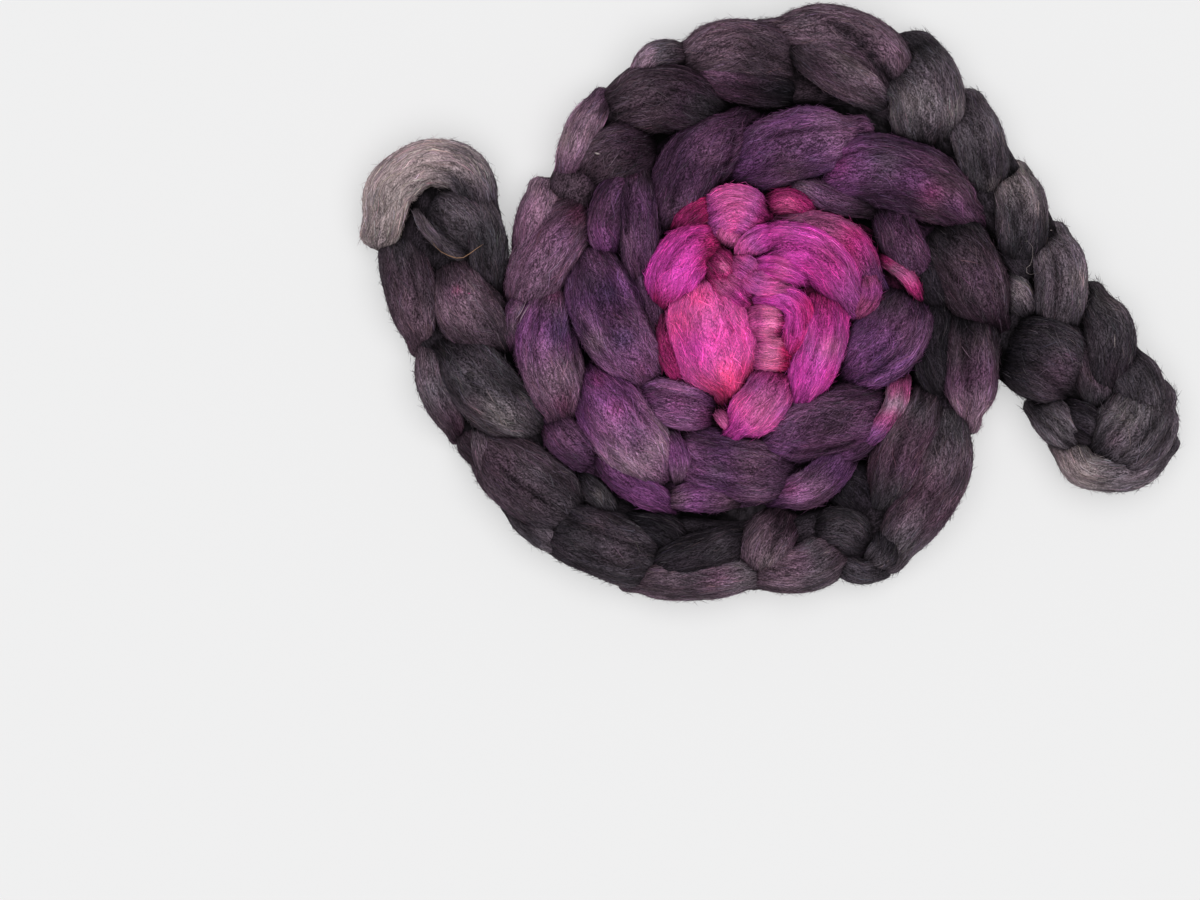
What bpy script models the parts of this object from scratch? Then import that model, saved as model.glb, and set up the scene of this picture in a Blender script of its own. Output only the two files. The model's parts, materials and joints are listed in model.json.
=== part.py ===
"""A chained braid of combed wool roving, wound into a flat coil that rests on a table.

The braid is a soft slip chain: each loop of roving lies over the one before it as a fat fold. Two arms of the
chain leave the middle of the coil and run outwards side by side, and each ends in a loose loop. Every fold that
shows is one row of the tables below. The folds, the packed core of each arm and the bed under the windings are
fused into one closed body, and its underside is flat where the wool rests.

Plan sizes are in millimetres from the middle of the coil. Heights are above the table.
"""

import math
from collections import namedtuple

import bmesh
import bpy
from mathutils import Matrix, Vector

MM = 0.001

# The shape of every fold
SIDES = 16
STATIONS = 14
STATION_GAP = 9.0
SPAN_STEPS = 12
CAP_RINGS = 3
CAP_LENGTH = 0.62
WIDTH_POWER = 3.0
SINK_POWER = 3.0
ROUND_POWER = 2.3
TALLEST_SHARE = 0.6
TUCK_SHARE = 0.15
LONGEST_TUCK = 15.0
LEAST_SWELL = 0.2
PRESSED = 4.0

# The bed under the windings and the mound under the middle
BED_MIDDLE = (-2.0, -2.0, 12.0)
BED_RADII = (150.0, 184.0, 14.0)
MOUND_MIDDLE = (2.0, 0.0, 24.0)
MOUND_RADII = (64.0, 66.0, 20.0)
BED_SEGMENTS = 48
BED_RINGS = 16

# The fused skin
VOXEL = 2.2
SMOOTH_FACTOR = 0.5
SMOOTH_PASSES = 2
TRIANGLES = 11600
CUTTER_SIZE = 900.0
LEVEL = 0.15

# The wool
WOOL_COLOUR = (0.125, 0.062, 0.115, 1.0)
WOOL_ROUGHNESS = 0.9

# One fold of the chain: its line in plan, its full width, the height of its crest, how far the crest sinks at
# its first and last point, and the share of the width that is left there.
Fold = namedtuple("Fold", "name line width crest sink narrow")

RIGHT_TAIL = (
    Fold("end_sweep", ((212, -104), (228, -117), (256, -119), (280, -103)), 31, 41, (12, 10), (0.6, 0.6)),
    Fold("end_loop", ((240, -106), (262, -97), (278, -88)), 44, 51, (8, 12), (0.45, 0.7)),
    Fold("end_shoulder", ((256, -42), (267, -62), (271, -84)), 42, 46, (12, 6), (0.5, 0.8)),
    Fold("low_leg", ((193, -77), (205, -88), (227, -100)), 26, 36, (8, 10), (0.6, 0.5)),
    Fold("round_fold", ((177, -35), (198, -44), (219, -55)), 58, 48, (12, 10), (0.6, 0.65)),
    Fold("under_leg", ((207, -80), (226, -88), (242, -98)), 28, 40, (6, 8), (0.7, 0.6)),
    Fold("tail_shade", ((226, -24), (233, -46), (238, -72)), 26, 38, (6, 6), (0.7, 0.7)),
    Fold("right_leg", ((237, 2), (246, -20), (246, -64)), 35, 45, (12, 10), (0.55, 0.6)),
    Fold("ridged_fold", ((207, 50), (213, 20), (211, -14)), 34, 50, (14, 10), (0.5, 0.7)),
    Fold("small_fold", ((175, 14), (182, 3), (190, -10)), 19, 37, (4, 4), (0.6, 0.6)),
    Fold("grey_fold", ((181, 89), (188, 64), (186, 28)), 34, 48, (14, 12), (0.5, 0.6)),
    Fold("shaded_fold", ((167, 50), (180, 38), (193, 18)), 32, 35, (6, 6), (0.7, 0.6)),
    Fold("dark_fold", ((153, 134), (158, 108), (162, 70)), 29, 46, (12, 14), (0.5, 0.5)),
    Fold("dark_fold_edge", ((147, 110), (154, 88), (162, 68)), 16, 38, (6, 8), (0.5, 0.5)),
    Fold("light_shoulder", ((113, 173), (124, 148), (124, 114)), 47, 52, (14, 14), (0.5, 0.7)),
)

RIGHT_OUTER = (
    Fold("top_upper", ((18, 187), (56, 185), (92, 161)), 40, 50, (12, 12), (0.5, 0.7)),
    Fold("top_lower", ((28, 180), (54, 160), (86, 141)), 33, 47, (12, 14), (0.5, 0.6)),
    Fold("long_upper", ((-52, 174), (-14, 177), (22, 160)), 40, 49, (12, 16), (0.5, 0.6)),
    Fold("long_lower", ((-42, 163), (-14, 154), (20, 145)), 27, 43, (8, 12), (0.5, 0.6)),
    Fold("left_cap", ((-92, 160), (-73, 171), (-56, 173)), 22, 42, (12, 8), (0.5, 0.6)),
    Fold("left_top", ((-102, 138), (-70, 143), (-34, 132)), 50, 50, (12, 14), (0.5, 0.6)),
    Fold("left_shade", ((-140, 78), (-116, 100), (-80, 108)), 44, 45, (12, 14), (0.5, 0.5)),
    Fold("left_sliver", ((-118, 137), (-131, 120), (-134, 98)), 25, 40, (10, 12), (0.5, 0.6)),
    Fold("left_edge", ((-152, 79), (-160, 62), (-158, 34)), 27, 39, (10, 10), (0.5, 0.7)),
    Fold("left_grey", ((-128, 64), (-147, 44), (-161, 10)), 42, 48, (12, 12), (0.5, 0.6)),
    Fold("left_lilac", ((-150, 2), (-152, -34), (-142, -74)), 44, 51, (12, 12), (0.45, 0.6)),
    Fold("left_tuft", ((-167, -3), (-173, -16), (-168, -33)), 16, 38, (6, 8), (0.6, 0.6)),
    Fold("low_small", ((-142, -88), (-134, -99), (-118, -115)), 29, 41, (8, 12), (0.6, 0.5)),
)

RIGHT_INNER = (
    Fold("low_big", ((-120, -52), (-96, -94), (-66, -128)), 53, 55, (16, 12), (0.35, 0.6)),
    Fold("low_edge", ((-112, -106), (-98, -125), (-70, -142)), 16, 40, (8, 8), (0.5, 0.5)),
    Fold("low_tip", ((-68, -138), (-48, -141), (-30, -142)), 20, 43, (8, 8), (0.4, 0.5)),
    Fold("low_middle", ((-56, -108), (-20, -117), (24, -120)), 44, 50, (12, 16), (0.6, 0.4)),
    Fold("low_right", ((2, -97), (40, -87), (80, -77)), 44, 53, (14, 10), (0.35, 0.6)),
    Fold("low_under", ((52, -105), (68, -99), (84, -89)), 22, 44, (8, 8), (0.5, 0.6)),
    Fold("low_return", ((12, -138), (36, -133), (59, -111)), 29, 46, (10, 12), (0.35, 0.6)),
    Fold("right_purple", ((96, 0), (90, -30), (60, -56)), 51, 54, (14, 14), (0.6, 0.4)),
    Fold("sliver_upper", ((89, 23), (104, 12), (111, -4)), 13, 45, (6, 8), (0.5, 0.4)),
    Fold("sliver_lower", ((97, -59), (93, -80), (70, -104)), 16, 47, (6, 12), (0.7, 0.5)),
)

LEFT_TAIL = (
    Fold("arch", ((-265, 48), (-262, 77), (-234, 97), (-203, 92), (-190, 72)), 30, 45, (14, 12), (0.55, 0.55)),
    Fold("arch_inside", ((-232, 68), (-212, 56), (-196, 40)), 46, 40, (10, 6), (0.5, 0.7)),
    Fold("arch_leg", ((-196, 62), (-188, 36), (-187, 6)), 25, 39, (6, 10), (0.6, 0.5)),
    Fold("arch_strand", ((-241, 60), (-235, 48), (-222, 36)), 9, 41, (4, 4), (0.5, 0.4)),
    Fold("left_leg", ((-256, 52), (-247, 14), (-237, -30)), 34, 43, (8, 12), (0.6, 0.6)),
    Fold("mid_fold", ((-213, 20), (-206, -2), (-188, -28)), 44, 47, (10, 12), (0.5, 0.5)),
    Fold("thin_leg", ((-232, -32), (-227, -56), (-214, -86)), 23, 40, (8, 12), (0.6, 0.5)),
    Fold("olive_fold", ((-214, -38), (-192, -64), (-161, -90)), 44, 49, (10, 12), (0.5, 0.55)),
    Fold("outer_leg", ((-202, -90), (-194, -116), (-176, -145)), 21, 40, (8, 12), (0.6, 0.6)),
    Fold("low_fold", ((-192, -102), (-168, -122), (-130, -141)), 46, 48, (10, 14), (0.5, 0.5)),
    Fold("low_nub", ((-116, -130), (-109, -138), (-103, -148)), 16, 37, (4, 6), (0.6, 0.6)),
)

LEFT_OUTER = (
    Fold("low_rim", ((-164, -152), (-153, -166), (-134, -180)), 21, 38, (8, 8), (0.6, 0.6)),
    Fold("bottom_main", ((-144, -162), (-112, -172), (-72, -181)), 44, 48, (10, 14), (0.6, 0.5)),
    Fold("bottom_step", ((-86, -158), (-68, -164), (-54, -171)), 25, 37, (4, 6), (0.6, 0.6)),
    Fold("bottom_upper", ((-76, -187), (-44, -178), (-12, -167)), 29, 46, (10, 12), (0.5, 0.6)),
    Fold("bottom_lower", ((-82, -195), (-48, -199), (-10, -190)), 28, 43, (10, 8), (0.5, 0.7)),
    Fold("bottom_grey", ((22, -159), (8, -170), (0, -190)), 34, 47, (10, 12), (0.7, 0.4)),
    Fold("bottom_right", ((14, -191), (38, -186), (64, -184)), 38, 46, (10, 10), (0.5, 0.6)),
    Fold("right_step", ((44, -160), (62, -156), (78, -167)), 32, 41, (8, 8), (0.6, 0.6)),
    Fold("right_shade", ((56, -126), (68, -134), (79, -148)), 36, 33, (4, 4), (0.6, 0.6)),
    Fold("loose_tuft", ((63, -187), (70, -193), (75, -195)), 12, 27, (4, 6), (0.7, 0.5)),
    Fold("right_inner", ((109, -74), (96, -108), (89, -138)), 40, 51, (12, 14), (0.6, 0.5)),
    Fold("right_outer", ((128, -86), (128, -124), (98, -172)), 40, 50, (12, 12), (0.6, 0.6)),
    Fold("right_foot", ((88, -160), (89, -176), (79, -190)), 25, 38, (6, 8), (0.6, 0.6)),
    Fold("dark_drop", ((122, -10), (121, -36), (131, -65)), 27, 43, (8, 12), (0.7, 0.5)),
    Fold("purple_drop", ((149, -30), (150, -58), (146, -87)), 29, 48, (10, 10), (0.7, 0.35)),
    Fold("right_slab", ((130, 46), (146, 20), (157, -14)), 52, 51, (12, 12), (0.6, 0.45)),
)

LEFT_INNER = (
    Fold("down_strand", ((85, 58), (95, 42), (108, 19)), 33, 46, (6, 8), (0.7, 0.6)),
    Fold("shade_strand", ((113, 34), (119, 12), (126, -4)), 24, 39, (6, 6), (0.6, 0.6)),
    Fold("top_tip", ((48, 94), (96, 90), (147, 61)), 51, 55, (12, 14), (0.55, 0.35)),
    Fold("top_arch", ((-10, 94), (16, 108), (67, 119)), 55, 54, (12, 14), (0.55, 0.35)),
    Fold("top_left", ((-17, 119), (-46, 98), (-65, 61)), 44, 52, (12, 12), (0.4, 0.5)),
    Fold("top_light", ((20, 82), (38, 76), (64, 68)), 26, 46, (8, 8), (0.5, 0.6)),
    Fold("violet_left", ((-102, 79), (-110, 60), (-107, 43)), 26, 47, (10, 12), (0.6, 0.6)),
    Fold("violet_right", ((-88, 81), (-86, 55), (-88, 31)), 29, 49, (10, 12), (0.6, 0.6)),
    Fold("violet_big", ((-117, 24), (-108, -10), (-77, -53)), 55, 56, (14, 14), (0.5, 0.5)),
    Fold("dark_strand", ((-86, 24), (-79, -4), (-69, -32)), 20, 42, (6, 8), (0.6, 0.5)),
    Fold("violet_low", ((-84, -68), (-58, -75), (-32, -79)), 35, 48, (10, 12), (0.45, 0.5)),
)

CENTRE = (
    Fold("arc", ((-38, 43), (-58, 36), (-66, 10), (-67, -10)), 42, 57, (8, 14), (0.6, 0.5)),
    Fold("arc_back", ((-34, 71), (-48, 63), (-60, 52)), 15, 50, (6, 8), (0.5, 0.5)),
    Fold("arc_low", ((-67, -16), (-63, -34), (-52, -50)), 18, 47, (6, 8), (0.6, 0.5)),
    Fold("top_pink", ((-32, 58), (-15, 61), (4, 58)), 37, 58, (8, 8), (0.6, 0.5)),
    Fold("top_pink_tail", ((-15, 50), (-21, 42), (-25, 34)), 18, 55, (4, 6), (0.6, 0.4)),
    Fold("top_red", ((8, 66), (20, 67), (37, 62)), 22, 52, (8, 8), (0.6, 0.4)),
    Fold("curl_back", ((22, 51), (50, 48), (70, 33), (78, 14)), 24, 53, (8, 10), (0.5, 0.5)),
    Fold("curl_outer", ((-11, 37), (14, 42), (46, 32), (63, 8), (67, -9)), 31, 62, (6, 16), (0.6, 0.35)),
    Fold("curl_middle", ((-14, 29), (6, 32), (32, 24), (48, 6)), 20, 64, (4, 10), (0.5, 0.5)),
    Fold("curl_inner", ((-14, 21), (0, 15), (20, 12), (34, 9)), 20, 62, (4, 10), (0.5, 0.5)),
    Fold("front_big", ((-42, 2), (-36, -30), (-19, -62)), 64, 63, (14, 14), (0.45, 0.4)),
    Fold("small_ridged", ((3, -25), (8, -26), (13, -28)), 44, 56, (2, 2), (0.85, 0.85)),
    Fold("ridged_arch", ((8, -2), (24, 1), (29, -14), (25, -30)), 19, 58, (4, 8), (0.6, 0.5)),
    Fold("magenta_leg", ((42, 1), (46, -28), (32, -66)), 34, 61, (10, 14), (0.6, 0.5)),
    Fold("pink_low", ((13, -55), (0, -74), (-19, -90)), 38, 59, (12, 12), (0.6, 0.45)),
    Fold("pink_nub", ((-27, -80), (-24, -82), (-21, -83)), 9, 50, (2, 2), (0.7, 0.7)),
    Fold("knot_back", ((-34, 23), (-28, 27), (-22, 24)), 13, 56, (4, 4), (0.6, 0.6)),
    Fold("knot_middle", ((-31, 17), (-25, 12), (-16, 4)), 15, 57, (4, 4), (0.6, 0.6)),
    Fold("knot_front", ((-13, 5), (-8, 0), (-5, -6)), 11, 55, (4, 4), (0.6, 0.6)),
)

# What the folds lie on: the packed middle of each arm, from its loose end to the middle of the coil, and the
# loops of the chain that stay underneath and show only as dark ground between the folds
GROUND = (
    Fold("right_arm", (
        (262, -98), (250, -72), (226, -34), (208, 12), (184, 62), (158, 106), (118, 148), (62, 168), (-10, 164),
        (-74, 146), (-116, 104), (-142, 56), (-152, 6), (-148, -40), (-130, -86), (-92, -116), (-36, -122),
        (26, -112), (70, -84), (84, -36), (82, 16), (52, 40), (0, 58), (-44, 34), (-52, -10), (-30, -40),
    ), 46, 30, (0, 0), (1, 1)),
    Fold("left_arm", (
        (-226, 70), (-229, 44), (-230, 12), (-214, -36), (-190, -84), (-154, -132), (-106, -168), (-40, -186),
        (30, -182), (86, -158), (116, -112), (134, -60), (144, -2), (128, 46), (84, 84), (30, 106), (-30, 104),
        (-76, 76), (-98, 28), (-98, -18), (-80, -58), (-40, -76), (6, -72), (38, -42), (42, -6), (20, 14), (0, 0),
    ), 46, 30, (0, 0), (1, 1)),
    Fold("right_tail_loop", ((198, -46), (226, -70), (250, -96)), 64, 27, (0, 0), (1, 1)),
    Fold("right_gap_loop", ((188, -2), (174, -16), (165, -40)), 32, 26, (0, 0), (1, 1)),
    Fold("left_tail_loop", ((-218, 66), (-214, 36), (-204, -2)), 50, 27, (0, 0), (1, 1)),
    Fold("left_gap_loop", ((-184, 8), (-182, -20), (-170, -54)), 34, 26, (0, 0), (1, 1)),
    Fold("low_gap_loop", ((-132, -116), (-106, -138), (-70, -152)), 26, 25, (0, 0), (1, 1)),
)


def clear_scene():
    for item in list(bpy.data.objects):
        bpy.data.objects.remove(item, do_unlink=True)


def wool_material():
    material = bpy.data.materials.new("wool")
    material.use_nodes = True
    shader = material.node_tree.nodes["Principled BSDF"]
    shader.inputs["Base Color"].default_value = WOOL_COLOUR
    shader.inputs["Roughness"].default_value = WOOL_ROUGHNESS
    shader.inputs["Metallic"].default_value = 0.0
    return material


def smooth_line(points):
    """Close samples of a smooth line through plan points."""
    last = len(points) - 1
    samples = []
    for index in range(last):
        p1 = Vector(points[index])
        p2 = Vector(points[index + 1])
        p0 = Vector(points[index - 1]) if index > 0 else p1 * 2.0 - p2
        p3 = Vector(points[index + 2]) if index + 2 <= last else p2 * 2.0 - p1
        for step in range(SPAN_STEPS):
            u = step / SPAN_STEPS
            cubic = (p1 * 3.0 - p0 - p2 * 3.0 + p3) * (0.5 * u ** 3)
            square = (p0 * 2.0 - p1 * 5.0 + p2 * 4.0 - p3) * (0.5 * u ** 2)
            samples.append(p1 + (p2 - p0) * (0.5 * u) + square + cubic)
    samples.append(Vector(points[last]))
    return samples


def line_length(samples):
    return sum((far - near).length for near, far in zip(samples, samples[1:]))


def place_on(samples, distance):
    """The point and direction at a distance along the samples, which run on straight past both ends."""
    walked = 0.0
    for near, far in zip(samples, samples[1:]):
        span = (far - near).length
        if distance <= walked + span:
            break
        walked += span
    else:
        walked -= span
    direction = (far - near).normalized()
    return near + direction * (distance - walked), direction


def fold_section(fold, samples, share):
    """Middle, direction, half width and half height of a fold's cross-section, in millimetres."""
    point, direction = place_on(samples, share * line_length(samples))
    side = 0 if share < 0.5 else 1
    off_middle = abs(2.0 * share - 1.0)
    swell = max(1.0 - (1.0 - fold.narrow[side]) * off_middle ** WIDTH_POWER, LEAST_SWELL)
    top = fold.crest - fold.sink[side] * off_middle ** SINK_POWER
    half_height = min(0.5 * (top + PRESSED), TALLEST_SHARE * fold.width)
    return Vector((point.x, point.y, top - half_height)), direction, 0.5 * fold.width * swell, half_height


def full_round(value):
    """A sine or cosine pushed out, so that the section is fuller than an ellipse."""
    return math.copysign(abs(value) ** (2.0 / ROUND_POWER), value)


def add_ring(bm, middle, direction, half_width, half_height):
    across = Vector((direction.y, -direction.x, 0.0))
    ring = []
    for side in range(SIDES):
        angle = 2.0 * math.pi * side / SIDES
        offset = across * (half_width * full_round(math.cos(angle)))
        offset.z = half_height * full_round(math.sin(angle))
        ring.append(bm.verts.new((middle + offset) * MM))
    return ring


def add_tube(bm, sections):
    """A closed tube through the cross-sections, with round ends."""
    rings = []
    first = sections[0]
    last = sections[-1]
    for step in range(CAP_RINGS, 0, -1):
        rings.append(cap_ring(bm, first, -1.0, step))
    for section in sections:
        rings.append(add_ring(bm, *section))
    for step in range(1, CAP_RINGS + 1):
        rings.append(cap_ring(bm, last, 1.0, step))
    for near, far in zip(rings, rings[1:]):
        for side in range(SIDES):
            after = (side + 1) % SIDES
            bm.faces.new((near[side], far[side], far[after], near[after]))
    bm.faces.new(rings[0])
    bm.faces.new(reversed(rings[-1]))


def cap_ring(bm, section, way, step):
    middle, direction, half_width, half_height = section
    angle = 0.5 * math.pi * step / (CAP_RINGS + 0.5)
    along = Vector((direction.x, direction.y, 0.0)) * (way * CAP_LENGTH * half_width * math.sin(angle))
    shrink = math.cos(angle)
    return add_ring(bm, middle + along, direction, half_width * shrink, half_height * shrink)


def add_fold(bm, fold):
    """A fold runs on past both ends of its line, where it sinks under its neighbours."""
    samples = smooth_line(fold.line)
    length = line_length(samples)
    tuck = min(TUCK_SHARE, LONGEST_TUCK / length)
    stations = max(STATIONS, round(length / STATION_GAP))
    step = (1.0 + 2.0 * tuck) / (stations - 1)
    add_tube(bm, [fold_section(fold, samples, index * step - tuck) for index in range(stations)])


def add_bed(bm, middle, radii):
    place = Matrix.Translation(Vector(middle) * MM) @ Matrix.Diagonal((*(Vector(radii) * MM), 1.0))
    bmesh.ops.create_uvsphere(bm, u_segments=BED_SEGMENTS, v_segments=BED_RINGS, radius=1.0, matrix=place)


def new_object(name, bm):
    bmesh.ops.recalc_face_normals(bm, faces=bm.faces)
    mesh = bpy.data.meshes.new(name)
    bm.to_mesh(mesh)
    bm.free()
    item = bpy.data.objects.new(name, mesh)
    bpy.context.scene.collection.objects.link(item)
    return item


def baked_mesh(item):
    """The object's mesh with its modifiers in it."""
    bpy.context.view_layer.update()
    depsgraph = bpy.context.evaluated_depsgraph_get()
    return bpy.data.meshes.new_from_object(item.evaluated_get(depsgraph), depsgraph=depsgraph)


def bake(item):
    mesh = baked_mesh(item)
    item.modifiers.clear()
    item.data = mesh


def keep_largest_shell(item):
    """Small shells are pockets closed in between folds, and the wool fills them."""
    bm = bmesh.new()
    bm.from_mesh(item.data)
    left = set(bm.verts)
    shells = []
    while left:
        shell = {left.pop()}
        front = list(shell)
        while front:
            for edge in front.pop().link_edges:
                for vert in edge.verts:
                    if vert in left:
                        left.remove(vert)
                        shell.add(vert)
                        front.append(vert)
        shells.append(shell)
    shells.sort(key=len)
    for shell in shells[:-1]:
        bmesh.ops.delete(bm, geom=list(shell), context="VERTS")
    bm.to_mesh(item.data)
    bm.free()


def fuse(item):
    """One skin round everything, rounded a little where folds meet."""
    remesh = item.modifiers.new("fuse", "REMESH")
    remesh.mode = "VOXEL"
    remesh.voxel_size = VOXEL * MM
    bake(item)
    keep_largest_shell(item)
    smooth = item.modifiers.new("soften", "SMOOTH")
    smooth.factor = SMOOTH_FACTOR
    smooth.iterations = SMOOTH_PASSES
    bake(item)


def table_cutter():
    """A block whose top is the table."""
    bm = bmesh.new()
    place = Matrix.Translation((0.0, 0.0, -0.5 * CUTTER_SIZE * MM))
    bmesh.ops.create_cube(bm, size=CUTTER_SIZE * MM, matrix=place)
    cutter = new_object("table_cutter", bm)
    cutter.hide_render = True
    cutter.display_type = "WIRE"
    return cutter


def rest_flat(item):
    cutter = table_cutter()
    cut = item.modifiers.new("rest_flat", "BOOLEAN")
    cut.operation = "DIFFERENCE"
    cut.solver = "EXACT"
    cut.object = cutter
    bake(item)
    bpy.data.objects.remove(cutter, do_unlink=True)


def thin_out(item):
    """Fewer, larger triangles, with the underside still on the table."""
    facets = item.modifiers.new("facets", "TRIANGULATE")
    facets.quad_method = "SHORTEST_DIAGONAL"
    bake(item)
    decimate = item.modifiers.new("thin_out", "DECIMATE")
    decimate.ratio = TRIANGLES / len(item.data.polygons)
    bake(item)
    for vertex in item.data.vertices:
        if vertex.co.z < LEVEL * MM:
            vertex.co.z = 0.0


def make_braid_coil(material):
    bm = bmesh.new()
    for group in (RIGHT_TAIL, RIGHT_OUTER, RIGHT_INNER, LEFT_TAIL, LEFT_OUTER, LEFT_INNER, CENTRE, GROUND):
        for fold in group:
            add_fold(bm, fold)
    add_bed(bm, BED_MIDDLE, BED_RADII)
    add_bed(bm, MOUND_MIDDLE, MOUND_RADII)
    coil = new_object("braid_coil", bm)
    fuse(coil)
    rest_flat(coil)
    thin_out(coil)
    coil.data.materials.clear()
    coil.data.materials.append(material)
    coil.data.shade_smooth()
    return coil


clear_scene()
make_braid_coil(wool_material())
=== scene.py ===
"""A chained braid of combed wool roving, wound into a flat coil: its folds, dyes and loose fibres."""

import json
import math
from collections import namedtuple

import bpy
import numpy as np
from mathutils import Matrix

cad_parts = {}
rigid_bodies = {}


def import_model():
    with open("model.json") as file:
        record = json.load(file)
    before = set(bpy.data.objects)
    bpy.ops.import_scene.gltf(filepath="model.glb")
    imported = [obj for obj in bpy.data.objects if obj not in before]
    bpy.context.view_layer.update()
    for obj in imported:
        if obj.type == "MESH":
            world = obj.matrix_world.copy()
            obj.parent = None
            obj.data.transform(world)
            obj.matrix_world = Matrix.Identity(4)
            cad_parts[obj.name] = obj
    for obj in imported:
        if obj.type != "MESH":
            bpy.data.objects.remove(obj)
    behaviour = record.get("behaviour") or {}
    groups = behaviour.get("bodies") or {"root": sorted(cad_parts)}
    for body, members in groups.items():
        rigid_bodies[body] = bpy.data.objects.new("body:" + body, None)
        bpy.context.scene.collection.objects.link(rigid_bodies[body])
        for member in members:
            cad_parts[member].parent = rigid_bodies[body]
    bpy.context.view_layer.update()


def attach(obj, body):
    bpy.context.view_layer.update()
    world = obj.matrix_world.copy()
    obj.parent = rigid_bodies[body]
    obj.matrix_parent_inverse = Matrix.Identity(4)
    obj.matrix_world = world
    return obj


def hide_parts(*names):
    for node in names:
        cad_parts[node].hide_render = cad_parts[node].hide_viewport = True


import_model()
bpy.context.scene.view_settings.view_transform = "Standard"

# ---------------------------------------------------------------------------------------------------------
# The camera looks straight down on the table from well above it. Sizes are in millimetres, and plan places
# are measured from the middle of the coil.
MM = 0.001
VIEW_MIDDLE = (-112.0, -105.0)
VIEW_WIDTH = 840.0
WOOL_LEVEL = 30.0
CAMERA_HEIGHT = 2600.0

camera_place = (VIEW_MIDDLE[0] * MM, VIEW_MIDDLE[1] * MM, CAMERA_HEIGHT * MM)
bpy.ops.object.camera_add(location=camera_place, rotation=(0.0, 0.0, 0.0))
camera = bpy.context.object
camera.data.lens = camera.data.sensor_width * (CAMERA_HEIGHT - WOOL_LEVEL) / VIEW_WIDTH
bpy.context.scene.camera = camera

# ---------------------------------------------------------------------------------------------------------
# The table is a plain pale board. One wide soft lamp overhead and a bright room light it evenly, and a glow
# of its own keeps the board pale.
TABLE_SIZE = 8.0
TABLE_COLOUR = (0.46, 0.46, 0.462, 1.0)
TABLE_ROUGHNESS = 0.7
TABLE_GLOW = 0.40
WHITE = (1.0, 1.0, 1.0, 1.0)
ROOM_STRENGTH = 0.28
LAMP_PLACE = (0.0, 0.0, 3.0)
LAMP_STRENGTH = 2.2
LAMP_TURN = (math.radians(3.0), math.radians(2.0), 0.0)
LAMP_SPREAD = math.radians(75.0)

bpy.ops.mesh.primitive_plane_add(size=TABLE_SIZE, location=(0, 0, 0))
table = bpy.context.object
table.name = "table"
table_finish = bpy.data.materials.new("pale_board")
table_finish.use_nodes = True
board = table_finish.node_tree.nodes["Principled BSDF"].inputs
board["Base Color"].default_value = TABLE_COLOUR
board["Roughness"].default_value = TABLE_ROUGHNESS
board["Emission Color"].default_value = WHITE
board["Emission Strength"].default_value = TABLE_GLOW
table.data.materials.append(table_finish)

room = bpy.data.worlds.new("room")
room.use_nodes = True
room.node_tree.nodes["Background"].inputs["Color"].default_value = WHITE
room.node_tree.nodes["Background"].inputs["Strength"].default_value = ROOM_STRENGTH
bpy.context.scene.world = room

bpy.ops.object.light_add(type="SUN", location=LAMP_PLACE, rotation=LAMP_TURN)
lamp = bpy.context.object
lamp.name = "soft_lamp"
lamp.data.energy = LAMP_STRENGTH
lamp.data.angle = LAMP_SPREAD

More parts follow.
